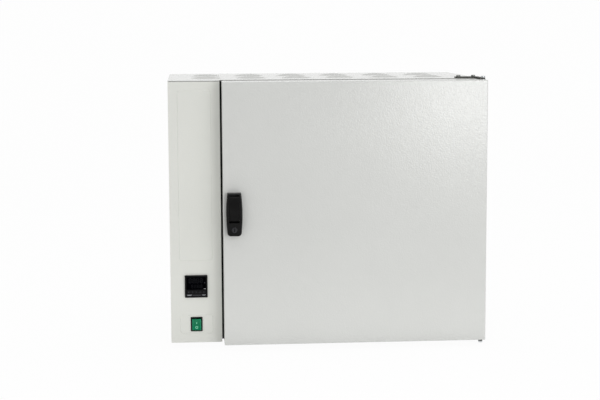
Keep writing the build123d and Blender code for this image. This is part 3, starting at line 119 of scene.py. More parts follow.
paper, paper_output = new_material("white_background_paper")
paper_matte = add_node(paper, "ShaderNodeBsdfDiffuse", {"Color": srgb("#F4F4F4")})
paper_glow = add_node(paper, "ShaderNodeEmission", {"Color": srgb("#FFFFFF"), "Strength": 1.0})
paper_rays = add_node(paper, "ShaderNodeLightPath")
seen = add_node(
    paper,
    "ShaderNodeMath",
    {0: paper_rays.outputs["Is Camera Ray"], 1: paper_rays.outputs["Is Glossy Ray"]},
    operation="MAXIMUM",
)
seen_or_through = add_node(
    paper,
    "ShaderNodeMath",
    {0: seen.outputs[0], 1: paper_rays.outputs["Is Transmission Ray"]},
    operation="MAXIMUM",
)
glow_share = add_node(
    paper, "ShaderNodeMath", {0: seen_or_through.outputs[0], 1: 0.96}, operation="MULTIPLY"
)
paper_mix = add_node(
    paper,
    "ShaderNodeMixShader",
    {"Fac": glow_share.outputs[0], 1: paper_matte.outputs[0], 2: paper_glow.outputs[0]},
)
paper.node_tree.links.new(paper_mix.outputs[0], paper_output.inputs["Surface"])

bay_half_width, bay_front, bay_height = 8.0, -7.0, 7.0
bend_start, bend_radius = 2.0, 1.5
bay_line = [(bay_front, 0.0), (bend_start, 0.0)]
for bend in (math.radians(5 * k) for k in range(1, 19)):
    bay_line.append(
        (bend_start + bend_radius * math.sin(bend), bend_radius - bend_radius * math.cos(bend))
    )
bay_line.append((bend_start + bend_radius, bay_height))
bay = bmesh.new()
bay_left, bay_right = [
    [bay.verts.new((x, y, z)) for y, z in bay_line] for x in (-bay_half_width, bay_half_width)
]
for near, far in zip(range(len(bay_line) - 1), range(1, len(bay_line))):
    bay.faces.new((bay_left[near], bay_right[near], bay_right[far], bay_left[far])).smooth = True
finished("background_bay", bay, paper)

# Studio light
# A small softbox at the right, low enough to shine back from the door's upper right corner, with
# broad weak ones at both sides and overhead, and a white card on the floor that lifts the door's
# foot. The black plastic reflects only a black cloth, which is hidden from all other rays.
room = bpy.data.worlds.new("white_room")
room.use_nodes = True
room.node_tree.nodes["Background"].inputs["Color"].default_value = srgb("#FFFFFF")
room.node_tree.nodes["Background"].inputs["Strength"].default_value = 0.645
bpy.context.scene.world = room

velvet, velvet_output = new_material("black_velvet")
velvet_pile = add_node(velvet, "ShaderNodeBsdfDiffuse", {"Color": srgb("#060607")})
velvet.node_tree.links.new(velvet_pile.outputs[0], velvet_output.inputs["Surface"])
cloth_half_width = 1.5
cloth_line = ((-0.3, 0.003), (-5.0, 0.003), (-5.0, 2.6))
cloth = bmesh.new()
cloth_rows = [
    [cloth.verts.new((x, y, z)) for x in (-cloth_half_width, cloth_half_width)]
    for y, z in cloth_line
]
for near_row, far_row in zip(cloth_rows, cloth_rows[1:]):
    cloth.faces.new((near_row[0], near_row[1], far_row[1], far_row[0]))
black_cloth = finished("black_cloth", cloth, velvet)
black_cloth.visible_camera = False
black_cloth.visible_diffuse = False
black_cloth.visible_transmission = False
black_cloth.visible_shadow = False


def softbox(name, place, target, width, depth, power):
    """A rectangular area lamp that faces a point, with lengths in metres and power in watts."""
    lamp = bpy.data.objects.new(name, bpy.data.lights.new(name, "AREA"))
    lamp.data.shape = "RECTANGLE"
    lamp.data.size = width
    lamp.data.size_y = depth
    lamp.data.energy = power
    aim = (Vector(target) - Vector(place)).to_track_quat("-Z", "Y").to_matrix().to_4x4()
    lamp.matrix_world = Matrix.Translation(place) @ aim
    bpy.context.scene.collection.objects.link(lamp)
    return lamp


softbox("softbox_key", (0.8, -2.616, 0.44), (0.1, -0.25, 0.35), 0.5, 0.22, 6.7)
softbox("softbox_right", (2.2, -3.4, 1.5), (0.1, -0.2, 0.3), 2.0, 2.0, 18.0)
softbox("softbox_left", (-2.6, -2.8, 1.6), (0.0, -0.2, 0.3), 1.8, 1.8, 3.0)
softbox("softbox_overhead", (0.2, 0.2, 3.0), (0.0, 0.0, 0.3), 2.4, 2.4, 19.0)
card = softbox("reflector_card", (0.04, -0.38, 0.006), (0.04, -0.38, 1.0), 0.85, 0.2, 0.2)
card.visible_camera = False
card.visible_glossy = False
bpy.context.scene.view_settings.view_transform = "Standard"


# Painted case
# Folded steel sheets, 1.2 mm thick, sprayed with light-grey polyester powder and baked. The
# powder melts to a satin skin with a fine orange peel, and the folds have a small radius.
def soften(node, width, material, segments=2):
    """Rounds a CAD node's sharp edges by that many millimetres and gives it its material."""
    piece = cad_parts[node]
    weld = piece.modifiers.new("weld", "WELD")
    weld.merge_threshold = 0.00001
    facets = piece.modifiers.new("facets", "DECIMATE")
    facets.decimate_type = "DISSOLVE"
    facets.angle_limit = math.radians(0.5)
    bevel = piece.modifiers.new("folds", "BEVEL")
    bevel.width = width * MM
    bevel.segments = segments
    bevel.limit_method = "ANGLE"
    bevel.angle_limit = math.radians(40)
    bevel.loop_slide = False
    bevel.face_strength_mode = "FSTR_AFFECTED"
    flats = piece.modifiers.new("flats", "WEIGHTED_NORMAL")
    flats.use_face_influence = True
    piece.data.materials.clear()
    piece.data.materials.append(material)
    return piece


def powder_coat(name, colour):
    """Satin powder coat; its 1.5 mm orange peel is drawn 2.7 mm wide, so that it shows."""
    material, output = new_material(name)
    place = add_node(material, "ShaderNodeTexCoord")
    peel = add_node(
        material,
        "ShaderNodeTexNoise",
        {"Vector": place.outputs["Object"], "Scale": 370.0, "Detail": 2.0},
    )
    broad = add_node(
        material,
        "ShaderNodeTexNoise",
        {"Vector": place.outputs["Object"], "Scale": 9.0, "Detail": 3.0},
    )
    tone = add_node(
        material,
        "ShaderNodeMapRange",
        {"Value": broad.outputs["Fac"], "To Min": 0.97, "To Max": 1.02},
    )
    # Sockets 6 and 7 of a mix are its two colours, whose names other sockets share.
    shade = add_node(
        material,
        "ShaderNodeMix",
        {"Factor": 1.0, 6: srgb(colour), 7: tone.outputs["Result"]},
        data_type="RGBA",
        blend_type="MULTIPLY",
    )
    rough = add_node(
        material,
        "ShaderNodeMapRange",
        {"Value": peel.outputs["Fac"], "To Min": 0.15, "To Max": 0.25},
    )
    bump = add_node(
        material,
        "ShaderNodeBump",
        {"Height": peel.outputs["Fac"], "Strength": 0.7, "Distance": 0.34 * MM},
    )
    coat = add_node(
        material,
        "ShaderNodeBsdfPrincipled",
        {
            "Base Color": shade.outputs[2],
            "Roughness": rough.outputs["Result"],
            "IOR": 1.5,
            "Normal": bump.outputs["Normal"],
        },
    )
    material.node_tree.links.new(coat.outputs[0], output.inputs["Surface"])
    return material


case_coat = powder_coat("light_grey_powder_coat", "#DADBD8")
for sheet_node in ("top_cover", "side_panel_left", "side_panel_right", "rear_panel", "door_skin"):
    soften(sheet_node, 0.5, case_coat)
# Painted light: the fascia gets a lighter copy of the case coat, standing for the brighter light
# that falls on it.
soften("control_fascia", 0.2, powder_coat("fascia_coat_with_painted_light", "#E9EAE4"))


# Zinc-coated inner sheets
# The base pan, the partition and the inner rear wall are folded from hot-dip galvanised steel,
# dull grey, with 10 mm zinc flowers. The front frame's zinc is coloured near-black as painted
# shade, so that the deep gap beside the door renders dark.
def galvanised(name, colour):
    """Zinc-coated sheet, whose crystals differ a little in tone and in shine."""
    material, output = new_material(name)
    place = add_node(material, "ShaderNodeTexCoord")
    spangle = add_node(
        material,
        "ShaderNodeTexVoronoi",
        {"Vector": place.outputs["Object"], "Scale": 100.0},
        feature="F1",
    )
    tone = add_node(
        material,
        "ShaderNodeMapRange",
        {"Value": spangle.outputs["Color"], "To Min": 0.82, "To Max": 1.05},
    )
    shade = add_node(
        material,
        "ShaderNodeMix",
        {"Factor": 1.0, 6: srgb(colour), 7: tone.outputs["Result"]},
        data_type="RGBA",
        blend_type="MULTIPLY",
    )
    rough = add_node(
        material,
        "ShaderNodeMapRange",
        {"Value": spangle.outputs["Color"], "To Min": 0.38, "To Max": 0.55},
    )
    metal = add_node(
        material,
        "ShaderNodeBsdfPrincipled",
        {"Base Color": shade.outputs[2], "Metallic": 1.0, "Roughness": rough.outputs["Result"]},
    )
    material.node_tree.links.new(metal.outputs[0], output.inputs["Surface"])
    return material


zinc = galvanised("galvanised_steel", "#9A9DA0")
for zinc_node in ("base_pan", "partition_wall", "inner_rear_wall", "latch_case", "keeper_spring"):
    soften(zinc_node, 0.25, zinc)
# Painted shade: the front frame's zinc is coloured near-black so the deep gap beside the door
# renders dark.
soften("front_frame", 0.25, galvanised("zinc_darkened_as_gap_shade", "#2C2C2D"))


# Mineral wool
# Batts of rock wool, 45 to 60 mm thick, cut with a knife and pushed round the chamber and into
# the door. The fibres lie in layers, drawn 0.7 mm apart, so the cut faces are finely streaked.
wool, wool_output = new_material("mineral_wool")
wool_place = add_node(wool, "ShaderNodeTexCoord")
fibre_stretch = add_node(
    wool,
    "ShaderNodeMapping",
    {"Vector": wool_place.outputs["Object"], "Scale": (220.0, 220.0, 1400.0)},
)
fibres = add_node(
    wool,
    "ShaderNodeTexNoise",
    {"Vector": fibre_stretch.outputs["Vector"], "Scale": 1.0, "Detail": 6.0},
)
fibre_colour = add_node(wool, "ShaderNodeValToRGB", {"Fac": fibres.outputs["Fac"]})
fibre_colour.color_ramp.elements[0].color = srgb("#8F8355")
fibre_colour.color_ramp.elements[1].color = srgb("#D0C493")
fibre_colour.color_ramp.elements[0].position = 0.3
fibre_colour.color_ramp.elements[1].position = 0.7
fibre_bump = add_node(
    wool, "ShaderNodeBump", {"Height": fibres.outputs["Fac"], "Strength": 0.8, "Distance": 0.0006}
)
wool_skin = add_node(
    wool,
    "ShaderNodeBsdfPrincipled",
    {
        "Base Color": fibre_colour.outputs["Color"],
        "Roughness": 0.95,
        "IOR": 1.5,
        "Specular IOR Level": 0.2,
        "Normal": fibre_bump.outputs["Normal"],
    },
)
wool.node_tree.links.new(wool_skin.outputs[0], wool_output.inputs["Surface"])
wool_unevenness = bpy.data.textures.new("wool_unevenness", "CLOUDS")
wool_unevenness.noise_scale = 0.03

case_batts = ("left", "right", "top", "bottom", "rear")
batts = [(f"insulation_{side}", "case", 6) for side in case_batts]
batts.append(("door_insulation", "door", 4))
for batt_node, batt_body, cell in batts:
    batt = new_object("wool_" + batt_node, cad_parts[batt_node].data.copy(), wool)
    felt = batt.modifiers.new("felt", "REMESH")
    felt.mode = "VOXEL"
    felt.voxel_size = cell * MM
    felt.use_smooth_shade = True
    pressed = batt.modifiers.new("pressed", "DISPLACE")
    pressed.mid_level = 0.0
    pressed.strength = -1.5 * MM
    sag = batt.modifiers.new("sag", "DISPLACE")
    sag.texture = wool_unevenness
    sag.texture_coords = "LOCAL"
    sag.mid_level = 1.0
    sag.strength = 1.2 * MM
    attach(batt, batt_body)
    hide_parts(batt_node)


# Stainless chamber
# Liner, baffle, racks and door panel of austenitic stainless sheet, 1 mm thick, folded and
# spot-welded. Brush lines about 0.6 mm apart run across the sheets, drawn coarser than real.
def stainless(name, stretch, colour="#C4C3BF", rough_low=0.24, rough_high=0.38):
    """Brushed stainless steel; stretch gives the brush lines' scale along each axis."""
    material, output = new_material(name)
    place = add_node(material, "ShaderNodeTexCoord")
    lines = add_node(
        material, "ShaderNodeMapping", {"Vector": place.outputs["Object"], "Scale": stretch}
    )
    brush = add_node(
        material,
        "ShaderNodeTexNoise",
        {"Vector": lines.outputs["Vector"], "Scale": 1.0, "Detail": 4.0},
    )
    cloud = add_node(
        material,
        "ShaderNodeTexNoise",
        {"Vector": place.outputs["Object"], "Scale": 14.0, "Detail": 3.0},
    )
    both = add_node(
        material,
        "ShaderNodeMath",
        {0: brush.outputs["Fac"], 1: cloud.outputs["Fac"]},
        operation="ADD",
    )
    rough = add_node(
        material,
        "ShaderNodeMapRange",
        {"Value": both.outputs[0], "From Max": 2.0, "To Min": rough_low, "To Max": rough_high},
    )
    bump = add_node(
        material,
        "ShaderNodeBump",
        {"Height": brush.outputs["Fac"], "Strength": 0.15, "Distance": 0.02 * MM},
    )
    metal = add_node(
        material,
        "ShaderNodeBsdfPrincipled",
        {
            "Base Color": srgb(colour),
            "Metallic": 1.0,
            "Roughness": rough.outputs["Result"],
            "Normal": bump.outputs["Normal"],
        },
    )
    material.node_tree.links.new(metal.outputs[0], output.inputs["Surface"])
    return material


chamber_steel = stainless("brushed_stainless_sheet", (30.0, 30.0, 1600.0))
for steel_node in ("chamber_liner", "air_baffle", "door_inner_panel", "shelf_racks"):
    soften(steel_node, 0.3, chamber_steel)


# Wire shelves
# Drawn stainless wires, 2.8 mm thick, welded to a flat-bar frame and electropolished, so they
# are brighter and smoother than the brushed sheet round them.
shelf_steel = stainless("electropolished_wire", (900.0, 40.0, 900.0), "#CDCCC8", 0.16, 0.26)
for shelf_node in ("shelf_upper", "shelf_lower"):
    soften(shelf_node, 0.15, shelf_steel)


# Heating element and temperature probe
# A tubular element of nickel-steel sheath round the fan. Red heat has turned it dull brown-grey
# with straw and blue tints. The probe beside it is a bright drawn tube with its nut.
sheath, sheath_output = new_material("heat_tinted_nickel_steel")
sheath_place = add_node(sheath, "ShaderNodeTexCoord")
tint_cloud = add_node(
    sheath,
    "ShaderNodeTexNoise",
    {"Vector": sheath_place.outputs["Object"], "Scale": 35.0, "Detail": 4.0},
)
tint = add_node(sheath, "ShaderNodeValToRGB", {"Fac": tint_cloud.outputs["Fac"]})
tint.color_ramp.elements[0].color = srgb("#4E4A4F")
tint.color_ramp.elements[1].color = srgb("#8A7358")
tint.color_ramp.elements[0].position = 0.35
tint.color_ramp.elements[1].position = 0.65
sheath_metal = add_node(
    sheath,
    "ShaderNodeBsdfPrincipled",
    {"Base Color": tint.outputs["Color"], "Metallic": 1.0, "Roughness": 0.5},
)
sheath.node_tree.links.new(sheath_metal.outputs[0], sheath_output.inputs["Surface"])
soften("heating_element", 0.2, sheath)
drawn_tube = stainless("bright_drawn_tube", (60.0, 900.0, 900.0), "#CFCDC6", 0.16, 0.28)
soften("temperature_sensor", 0.3, drawn_tube)


# Fan
# A pressed and riveted aluminium impeller on a ground steel shaft. The motor behind the wool
# has a die-cast body under a satin black enamel.
def cast_metal(name, colour, grit, rough, depth):
    """Dull metal; grit is the size of its grains and depth their height, in millimetres."""
    material, output = new_material(name)
    place = add_node(material, "ShaderNodeTexCoord")
    grains = add_node(
        material,
        "ShaderNodeTexNoise",
        {"Vector": place.outputs["Object"], "Scale": 1.0 / (grit * MM), "Detail": 3.0},
    )
    worn = add_node(
        material,
        "ShaderNodeTexNoise",
        {"Vector": place.outputs["Object"], "Scale": 25.0, "Detail": 4.0},
    )
    shine = add_node(
        material,
        "ShaderNodeMapRange",
        {"Value": worn.outputs["Fac"], "To Min": rough - 0.06, "To Max": rough + 0.06},
    )
    bump = add_node(
        material,
        "ShaderNodeBump",
        {"Height": grains.outputs["Fac"], "Strength": 0.4, "Distance": depth * MM},
    )
    metal = add_node(
        material,
        "ShaderNodeBsdfPrincipled",
        {
            "Base Color": srgb(colour),
            "Metallic": 1.0,
            "Roughness": shine.outputs["Result"],
            "Normal": bump.outputs["Normal"],
        },
    )
    material.node_tree.links.new(metal.outputs[0], output.inputs["Surface"])
    return material


aluminium = cast_metal("mill_finish_aluminium", "#C9CACB", 0.8, 0.34, 0.02)
ground_steel = cast_metal("ground_steel", "#BDBEC0", 0.4, 0.22, 0.005)
soften("fan_impeller", 0.2, aluminium)
soften("fan_shaft", 0.3, ground_steel)
soften("fan_motor", 0.8, powder_coat("black_motor_enamel", "#1F1F21"))


# Exhaust tube and damper
# A stainless tube through the wool and both rear walls, with a rolled bead for a hose. A moulded
# flap turns in it on a knob with a raised grip.
exhaust_steel = stainless("drawn_exhaust_tube", (60.0, 900.0, 60.0), "#C6C5C1", 0.2, 0.32)
soften("exhaust_tube", 0.3, exhaust_steel)


def moulded(name, colour, rough, grain=0.7, depth=0.03, index=1.54):
    """A moulded plastic with a spark-eroded grain; grain and depth are in millimetres."""
    material, output = new_material(name)
    place = add_node(material, "ShaderNodeTexCoord")
    pits = add_node(
        material,
        "ShaderNodeTexNoise",
        {"Vector": place.outputs["Object"], "Scale": 1.0 / (grain * MM), "Detail": 2.0},
    )
    handled = add_node(
        material,
        "ShaderNodeTexNoise",
        {"Vector": place.outputs["Object"], "Scale": 40.0, "Detail": 3.0},
    )
    shine = add_node(
        material,
        "ShaderNodeMapRange",
        {"Value": handled.outputs["Fac"], "To Min": rough - 0.07, "To Max": rough + 0.07},
    )
    bump = add_node(
        material,
        "ShaderNodeBump",
        {"Height": pits.outputs["Fac"], "Strength": 0.5, "Distance": depth * MM},
    )
    plastic = add_node(
        material,
        "ShaderNodeBsdfPrincipled",
        {
            "Base Color": srgb(colour),
            "Roughness": shine.outputs["Result"],
            "IOR": index,
            "Normal": bump.outputs["Normal"],
        },
    )
    material.node_tree.links.new(plastic.outputs[0], output.inputs["Surface"])
    return material


soften("vent_damper", 0.4, moulded("phenolic_damper", "#2A2320", 0.42))


# Mains inlet
# A glass-filled nylon appliance socket, clipped in the rear panel, with three tinned brass pins
# that stand in its well. The pins' rounded sleeves sit over the moulded cores.
soften("mains_inlet", 0.5, moulded("glass_filled_nylon", "#161617", 0.5, 0.5, 0.02))
tinned_brass = cast_metal("tinned_brass", "#D2CFC6", 0.5, 0.24, 0.004)


def rounded_bar(name, low, high, radius, material):
    """A bar between two corners, in metres, with every edge rounded."""
    bar = bmesh.new()
    bmesh.ops.create_cube(bar, size=1.0)
    size = [b - a for a, b in zip(low, high)]
    middle = [(a + b) / 2 for a, b in zip(low, high)]
    bmesh.ops.scale(bar, vec=size, verts=bar.verts)
    bmesh.ops.translate(bar, vec=middle, verts=bar.verts)
    bmesh.ops.bevel(bar, geom=bar.edges[:], offset=radius, segments=3, affect="EDGES", profile=0.5)
    for face in bar.faces:
        face.smooth = True
    return finished(name, bar, material)


inlet_low, inlet_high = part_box("mains_inlet")
inlet_x = (inlet_low[0] + inlet_high[0]) / 2
inlet_z = (inlet_low[2] + inlet_high[2]) / 2
pin_half_width, pin_half_height = 0.001 + 0.0002, 0.002 + 0.0002
pin_root, pin_tip = inlet_high[1] - 0.0228, inlet_high[1] - 0.0036
pin_round = 0.0005
pin_places = ((-0.007, 0.002), (0.0, 0.005), (0.007, 0.002))
for pin_number, (across, above) in enumerate(pin_places, 1):
    pin_x, pin_z = inlet_x + across, inlet_z + above
    sleeve = rounded_bar(
        f"inlet_pin_{pin_number}",
        (pin_x - pin_half_width, pin_root, pin_z - pin_half_height),
        (pin_x + pin_half_width, pin_tip, pin_z + pin_half_height),
        pin_round,
        tinned_brass,
    )
    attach(sleeve, "case")


# Relay, heat sink, terminal block and wires
# An extruded aluminium heat sink carries a potted relay. The block under them is cream
# melamine, and the wires have a red-brown silicone jacket that bears the heat.
soften("heat_sink", 0.3, aluminium)
soften("solid_state_relay", 0.5, moulded("potted_relay_case", "#242528", 0.38, 0.9, 0.02))
soften("terminal_block", 0.4, moulded("cream_melamine", "#DDD3BC", 0.4, 0.8, 0.02))
soften("wiring_loom", 0.1, moulded("silicone_wire_jacket", "#7A2B23", 0.55, 1.2, 0.02, 1.41))


# Controller
# A black ABS case with a fine matt grain behind a 48 mm square bezel. Its face has a smoked
# acrylic window over the unlit digits, a pale strip and two small marks at the right.
soften("controller_housing", 0.35, moulded("black_abs", "#08080A", 0.36, 0.6, 0.01))
acrylic, acrylic_output = new_material("smoked_acrylic")
acrylic_place = add_node(acrylic, "ShaderNodeTexCoord")
wipe_marks = add_node(
    acrylic,
    "ShaderNodeTexNoise",
    {"Vector": acrylic_place.outputs["Object"], "Scale": 120.0, "Detail": 3.0},
)
acrylic_shine = add_node(
    acrylic,
    "ShaderNodeMapRange",
    {"Value": wipe_marks.outputs["Fac"], "To Min": 0.05, "To Max": 0.12},
)
acrylic_skin = add_node(
    acrylic,
    "ShaderNodeBsdfPrincipled",
    {"Base Color": srgb("#030306"), "Roughness": acrylic_shine.outputs["Result"], "IOR": 1.49},
)
acrylic.node_tree.links.new(acrylic_skin.outputs[0], acrylic_output.inputs["Surface"])
soften("controller_window", 0.2, acrylic)


def thin_plates(name, outlines, y, material, thickness=0.00004):
    """Flat prints that face the front at depth y; an outline is a list of x, z points."""
    print_mesh = bmesh.new()
    for outline in outlines:
        face = print_mesh.faces.new([print_mesh.verts.new((x, y, z)) for x, z in outline])
        face.normal_update()
        if face.normal.y > 0:
            face.normal_flip()
        side = bmesh.ops.extrude_face_region(print_mesh, geom=[face])
        moved = [item for item in side["geom"] if isinstance(item, bmesh.types.BMVert)]
        bmesh.ops.translate(print_mesh, vec=(0, -thickness, 0), verts=moved)
    bmesh.ops.recalc_face_normals(print_mesh, faces=print_mesh.faces[:])
    return finished(name, print_mesh, material)


def segment(centre, length, thickness, upright):
    """One bar of a seven-segment digit, pointed at both ends."""
    half, side = length / 2, thickness / 2
    points = [(-half, 0), (-half + side, side), (half - side, side)]
    points += [(half, 0), (half - side, -side), (-half + side, -side)]
    if upright:
        points = [(z, x) for x, z in points]
    return [(centre[0] + x, centre[1] + z) for x, z in points]


def digit(x, z, height):
    """The seven bars of one unlit digit with its lower left corner at x, z."""
    half = height / 2
    width = height * 0.52
    bar = height * 0.13
    across, upright = width * 0.86, half * 0.9
    bars = [segment((x + width / 2, z + level), across, bar, False) for level in (0, half, height)]
    for side in (0, width):
        for level in (half / 2, half * 1.5):
            bars.append(segment((x + side, z + level), upright, bar, True))
    return bars


window_low, window_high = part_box("controller_window")
unlit = moulded("unlit_display_segments", "#17181B", 0.3, 1.0, 0.005, 1.49)
digit_rows = ((0.0055, 0.0078, 0.0145, 0.0092), (0.0105, 0.0064, 0.0036, 0.0066))
digits = []
for column in range(4):
    for left, pitch, foot, digit_height in digit_rows:
        digits += digit(window_low[0] + left + pitch * column, window_low[2] + foot, digit_height)
display = thin_plates("display_segments", digits, window_low[1], unlit)
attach(display, "case")


def round_outline(centre, radius, points=20):
    """A circle's points, seen from the front."""
    turns = [2 * math.pi * k / points for k in range(points)]
    return [(centre[0] + radius * math.cos(t), centre[1] + radius * math.sin(t)) for t in turns]


housing_low, housing_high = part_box("controller_housing")
bezel_size = 0.048
face_y = housing_low[1] + 0.8 * MM
bezel_foot = housing_high[2] - bezel_size
panel_x = inlet_x
pale_ink = moulded("pale_grey_ink", "#8E9094", 0.5, 0.3, 0.005)
dim_ink = moulded("dim_grey_ink", "#4A4B4F", 0.5, 0.3, 0.005)


def bar_outline(left, right, low, high, slant=0.0):
    """A printed bar whose ends lean inwards by slant at the bottom."""
    return [(left + slant, low), (right - slant, low), (right, high), (left, high)]


strip_low, strip_high = bezel_foot + 0.0044, bezel_foot + 0.0064
strip_thickness = 0.0001
middle_bar = bar_outline(panel_x - 0.0075, panel_x + 0.0105, strip_low, strip_high - 0.0006)
left_bar = bar_outline(panel_x - 0.0205, panel_x - 0.0085, strip_low - 0.0004, strip_high, 0.003)
right_bar = bar_outline(panel_x + 0.0115, panel_x + 0.0205, strip_low, strip_high, 0.002)
strip = thin_plates("bezel_strip", [middle_bar], face_y, dim_ink, strip_thickness)
strip_ends = thin_plates(
    "bezel_strip_ends", [left_bar, right_bar], face_y, pale_ink, strip_thickness
)
white_ink = moulded("white_ink", "#B4B5B7", 0.5, 0.3, 0.005)
smoke_ink = moulded("smoke_grey_ink", "#2D2D33", 0.5, 0.3, 0.005)
dash_right, dash_foot = window_high[0] - 0.0004, window_low[2] + 0.0014
dash_width, dash_height = 0.0042, 0.0008
dash = bar_outline(dash_right - dash_width, dash_right, dash_foot, dash_foot + dash_height)
unit_mark = thin_plates("display_dash", [dash], window_low[1], white_ink)
lamp = round_outline((dash_right - 0.0022, dash_foot + 0.0135), 0.0014)
lamp_mark = thin_plates("display_lamp", [lamp], window_low[1], smoke_ink)
for face_piece in (strip, strip_ends, unit_mark, lamp_mark):
    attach(face_piece, "case")


# Keys
# Five small keys of dark silicone rubber, each with a plain grey arrow or dot printed on it.
# Each key and its print move together when it is pressed.
key_rubber = moulded("dark_key_rubber", "#131416", 0.6, 0.5, 0.02, 1.41)
arrow = [(-0.0015, -0.0009), (0.0015, -0.0009), (0.0, 0.0013)]
dot_radius = 0.0012
for number in range(1, 6):
    key_node = f"controller_key_{number}"
    soften(key_node, 0.15, key_rubber)
    key_low, key_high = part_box(key_node)
    key_x = (key_low[0] + key_high[0]) / 2
    key_z = (key_low[2] + key_high[2]) / 2
    if number in (1, 5):
        shape = round_outline((key_x, key_z), dot_radius)
    else:
        turn = {2: math.pi / 2, 3: math.pi, 4: 0.0}[number]
        shape = [
            (
                key_x + x * math.cos(turn) - z * math.sin(turn),
                key_z + x * math.sin(turn) + z * math.cos(turn),
            )
            for x, z in arrow
        ]
    key_print = thin_plates(f"key_print_{number}", [shape], key_low[1], dim_ink)
    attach(key_print, f"key_{number}")


# Mains switch
# A black nylon snap-in housing with a rocker of clear green polycarbonate. The rocker's side
# walls, seen edge-on, are coloured a lighter green as painted sheen, and its bar and ring are
# printed in pale green.
soften("switch_housing", 0.4, moulded("black_nylon", "#0B0C0D", 0.42, 0.5, 0.015))
rocker_low, rocker_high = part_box("switch_rocker")
switch_low, switch_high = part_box("switch_housing")
switch_x = (rocker_low[0] + rocker_high[0]) / 2
switch_z = (switch_low[2] + switch_high[2]) / 2
green, green_output = new_material("clear_green_polycarbonate")
green_place = add_node(green, "ShaderNodeTexCoord")
green_axes = add_node(green, "ShaderNodeSeparateXYZ", {"Vector": green_place.outputs["Object"]})
off_centre = add_node(
    green, "ShaderNodeMath", {0: green_axes.outputs["X"], 1: switch_x}, operation="SUBTRACT"
)
from_middle = add_node(green, "ShaderNodeMath", {0: off_centre.outputs[0]}, operation="ABSOLUTE")
# Painted sheen: the side walls, seen edge-on, get a lighter green than the rocker's face.
wall_sheen_share = add_node(
    green,
    "ShaderNodeMapRange",
    {"Value": from_middle.outputs[0], "From Min": 0.0068, "From Max": 0.0078},
)
swirl = add_node(
    green,
    "ShaderNodeTexNoise",
    {"Vector": green_place.outputs["Object"], "Scale": 260.0, "Detail": 2.0},
)
deep_green = add_node(
    green,
    "ShaderNodeMix",
    {"Factor": swirl.outputs["Fac"], 6: srgb("#00714C"), 7: srgb("#038459")},
    data_type="RGBA",
)
# The lighter green mixed in on the side walls is painted sheen.
rocker_colour = add_node(
    green,
    "ShaderNodeMix",
    {"Factor": wall_sheen_share.outputs["Result"], 6: deep_green.outputs[2], 7: srgb("#1F9068")},
    data_type="RGBA",
)
green_skin = add_node(
    green,
    "ShaderNodeBsdfPrincipled",
    {
        "Base Color": rocker_colour.outputs[2],
        "Roughness": 0.24,
        "IOR": 1.58,
        "Specular IOR Level": 0.2,
        "Subsurface Weight": 0.3,
        "Subsurface Radius": (0.2, 1.0, 0.6),
        "Subsurface Scale": 0.002,
    },
)
green.node_tree.links.new(green_skin.outputs[0], green_output.inputs["Surface"])
soften("switch_rocker", 0.45, green, 3)

rocker_tilt = math.radians(10)
ridge_reach = 0.0026
pivot = Vector((switch_x, switch_low[1] + 0.003, switch_z))
mark_root, mark_face = -0.0001, 0.00006
rocker_ink = moulded("pale_green_ink", "#7ED9B2", 0.4, 0.3, 0.005)


def rocker_mark(name, points, upper):
    """A mark on one of the rocker's faces; points are across and away from the ridge."""
    mark = bmesh.new()
    turn = Matrix.Rotation(rocker_tilt, 3, "X")
    slope = 1 if upper else -1
    rise, run = math.sin(rocker_tilt), math.cos(rocker_tilt)
    out = turn @ Vector((0, -run, -slope * rise))
    faces = []
    for lift in (mark_root, mark_face):
        outline = []
        for across, away in points:
            place = turn @ Vector((across, -ridge_reach - away * rise, slope * away * run))
            outline.append(mark.verts.new(place + out * lift + pivot))
        mark.faces.new(outline)
        faces.append(outline)
    root, face = faces
    for k in range(len(points)):
        n = (k + 1) % len(points)
        mark.faces.new((root[k], root[n], face[n], face[k]))
    bmesh.ops.recalc_face_normals(mark, faces=mark.faces[:])
    piece = finished(name, mark, rocker_ink)
    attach(piece, "rocker")


bar_half, bar_near, bar_far = 0.0009, 0.0012, 0.0052
bar_corners = [(-bar_half, bar_near), (bar_half, bar_near)]
bar_corners += [(bar_half, bar_far), (-bar_half, bar_far)]
rocker_mark("rocker_bar_mark", bar_corners, True)
ring_away, ring_inner, ring_outer, ring_steps = 0.0066, 0.0015, 0.0031, 16
for step in range(ring_steps):
    start, end = [2 * math.pi * (step + k) / ring_steps for k in (0, 1)]
    corners = [
        (radius * math.cos(turn), ring_away + radius * math.sin(turn))
        for radius, turn in (
            (ring_inner, start),
            (ring_outer, start),
            (ring_outer, end),
            (ring_inner, end),
        )
    ]
    rocker_mark(f"rocker_ring_mark_{step + 1}", corners, False)


# Door gasket
# A hollow silicone bulb with a flat foot, extruded and joined at one corner, pressed onto the
# door's inner panel. It is smooth and slightly glossy, brick red, as for 250 degrees.
def swept(name, rings, material, closed=True):
    """A tube through rings of points; an open one has its two ends capped."""
    tube = bmesh.new()
    loops = [[tube.verts.new(point) for point in ring] for ring in rings]
    for loop, after in zip(loops, loops[1:] + loops[:1] if closed else loops[1:]):
        for k in range(len(loop)):
            n = (k + 1) % len(loop)
            tube.faces.new((loop[k], loop[n], after[n], after[k])).smooth = True
    if not closed:
        for cut_end in (loops[0], loops[-1]):
            tube.faces.new(cut_end)
    bmesh.ops.recalc_face_normals(tube, faces=tube.faces[:])
    return finished(name, tube, material)


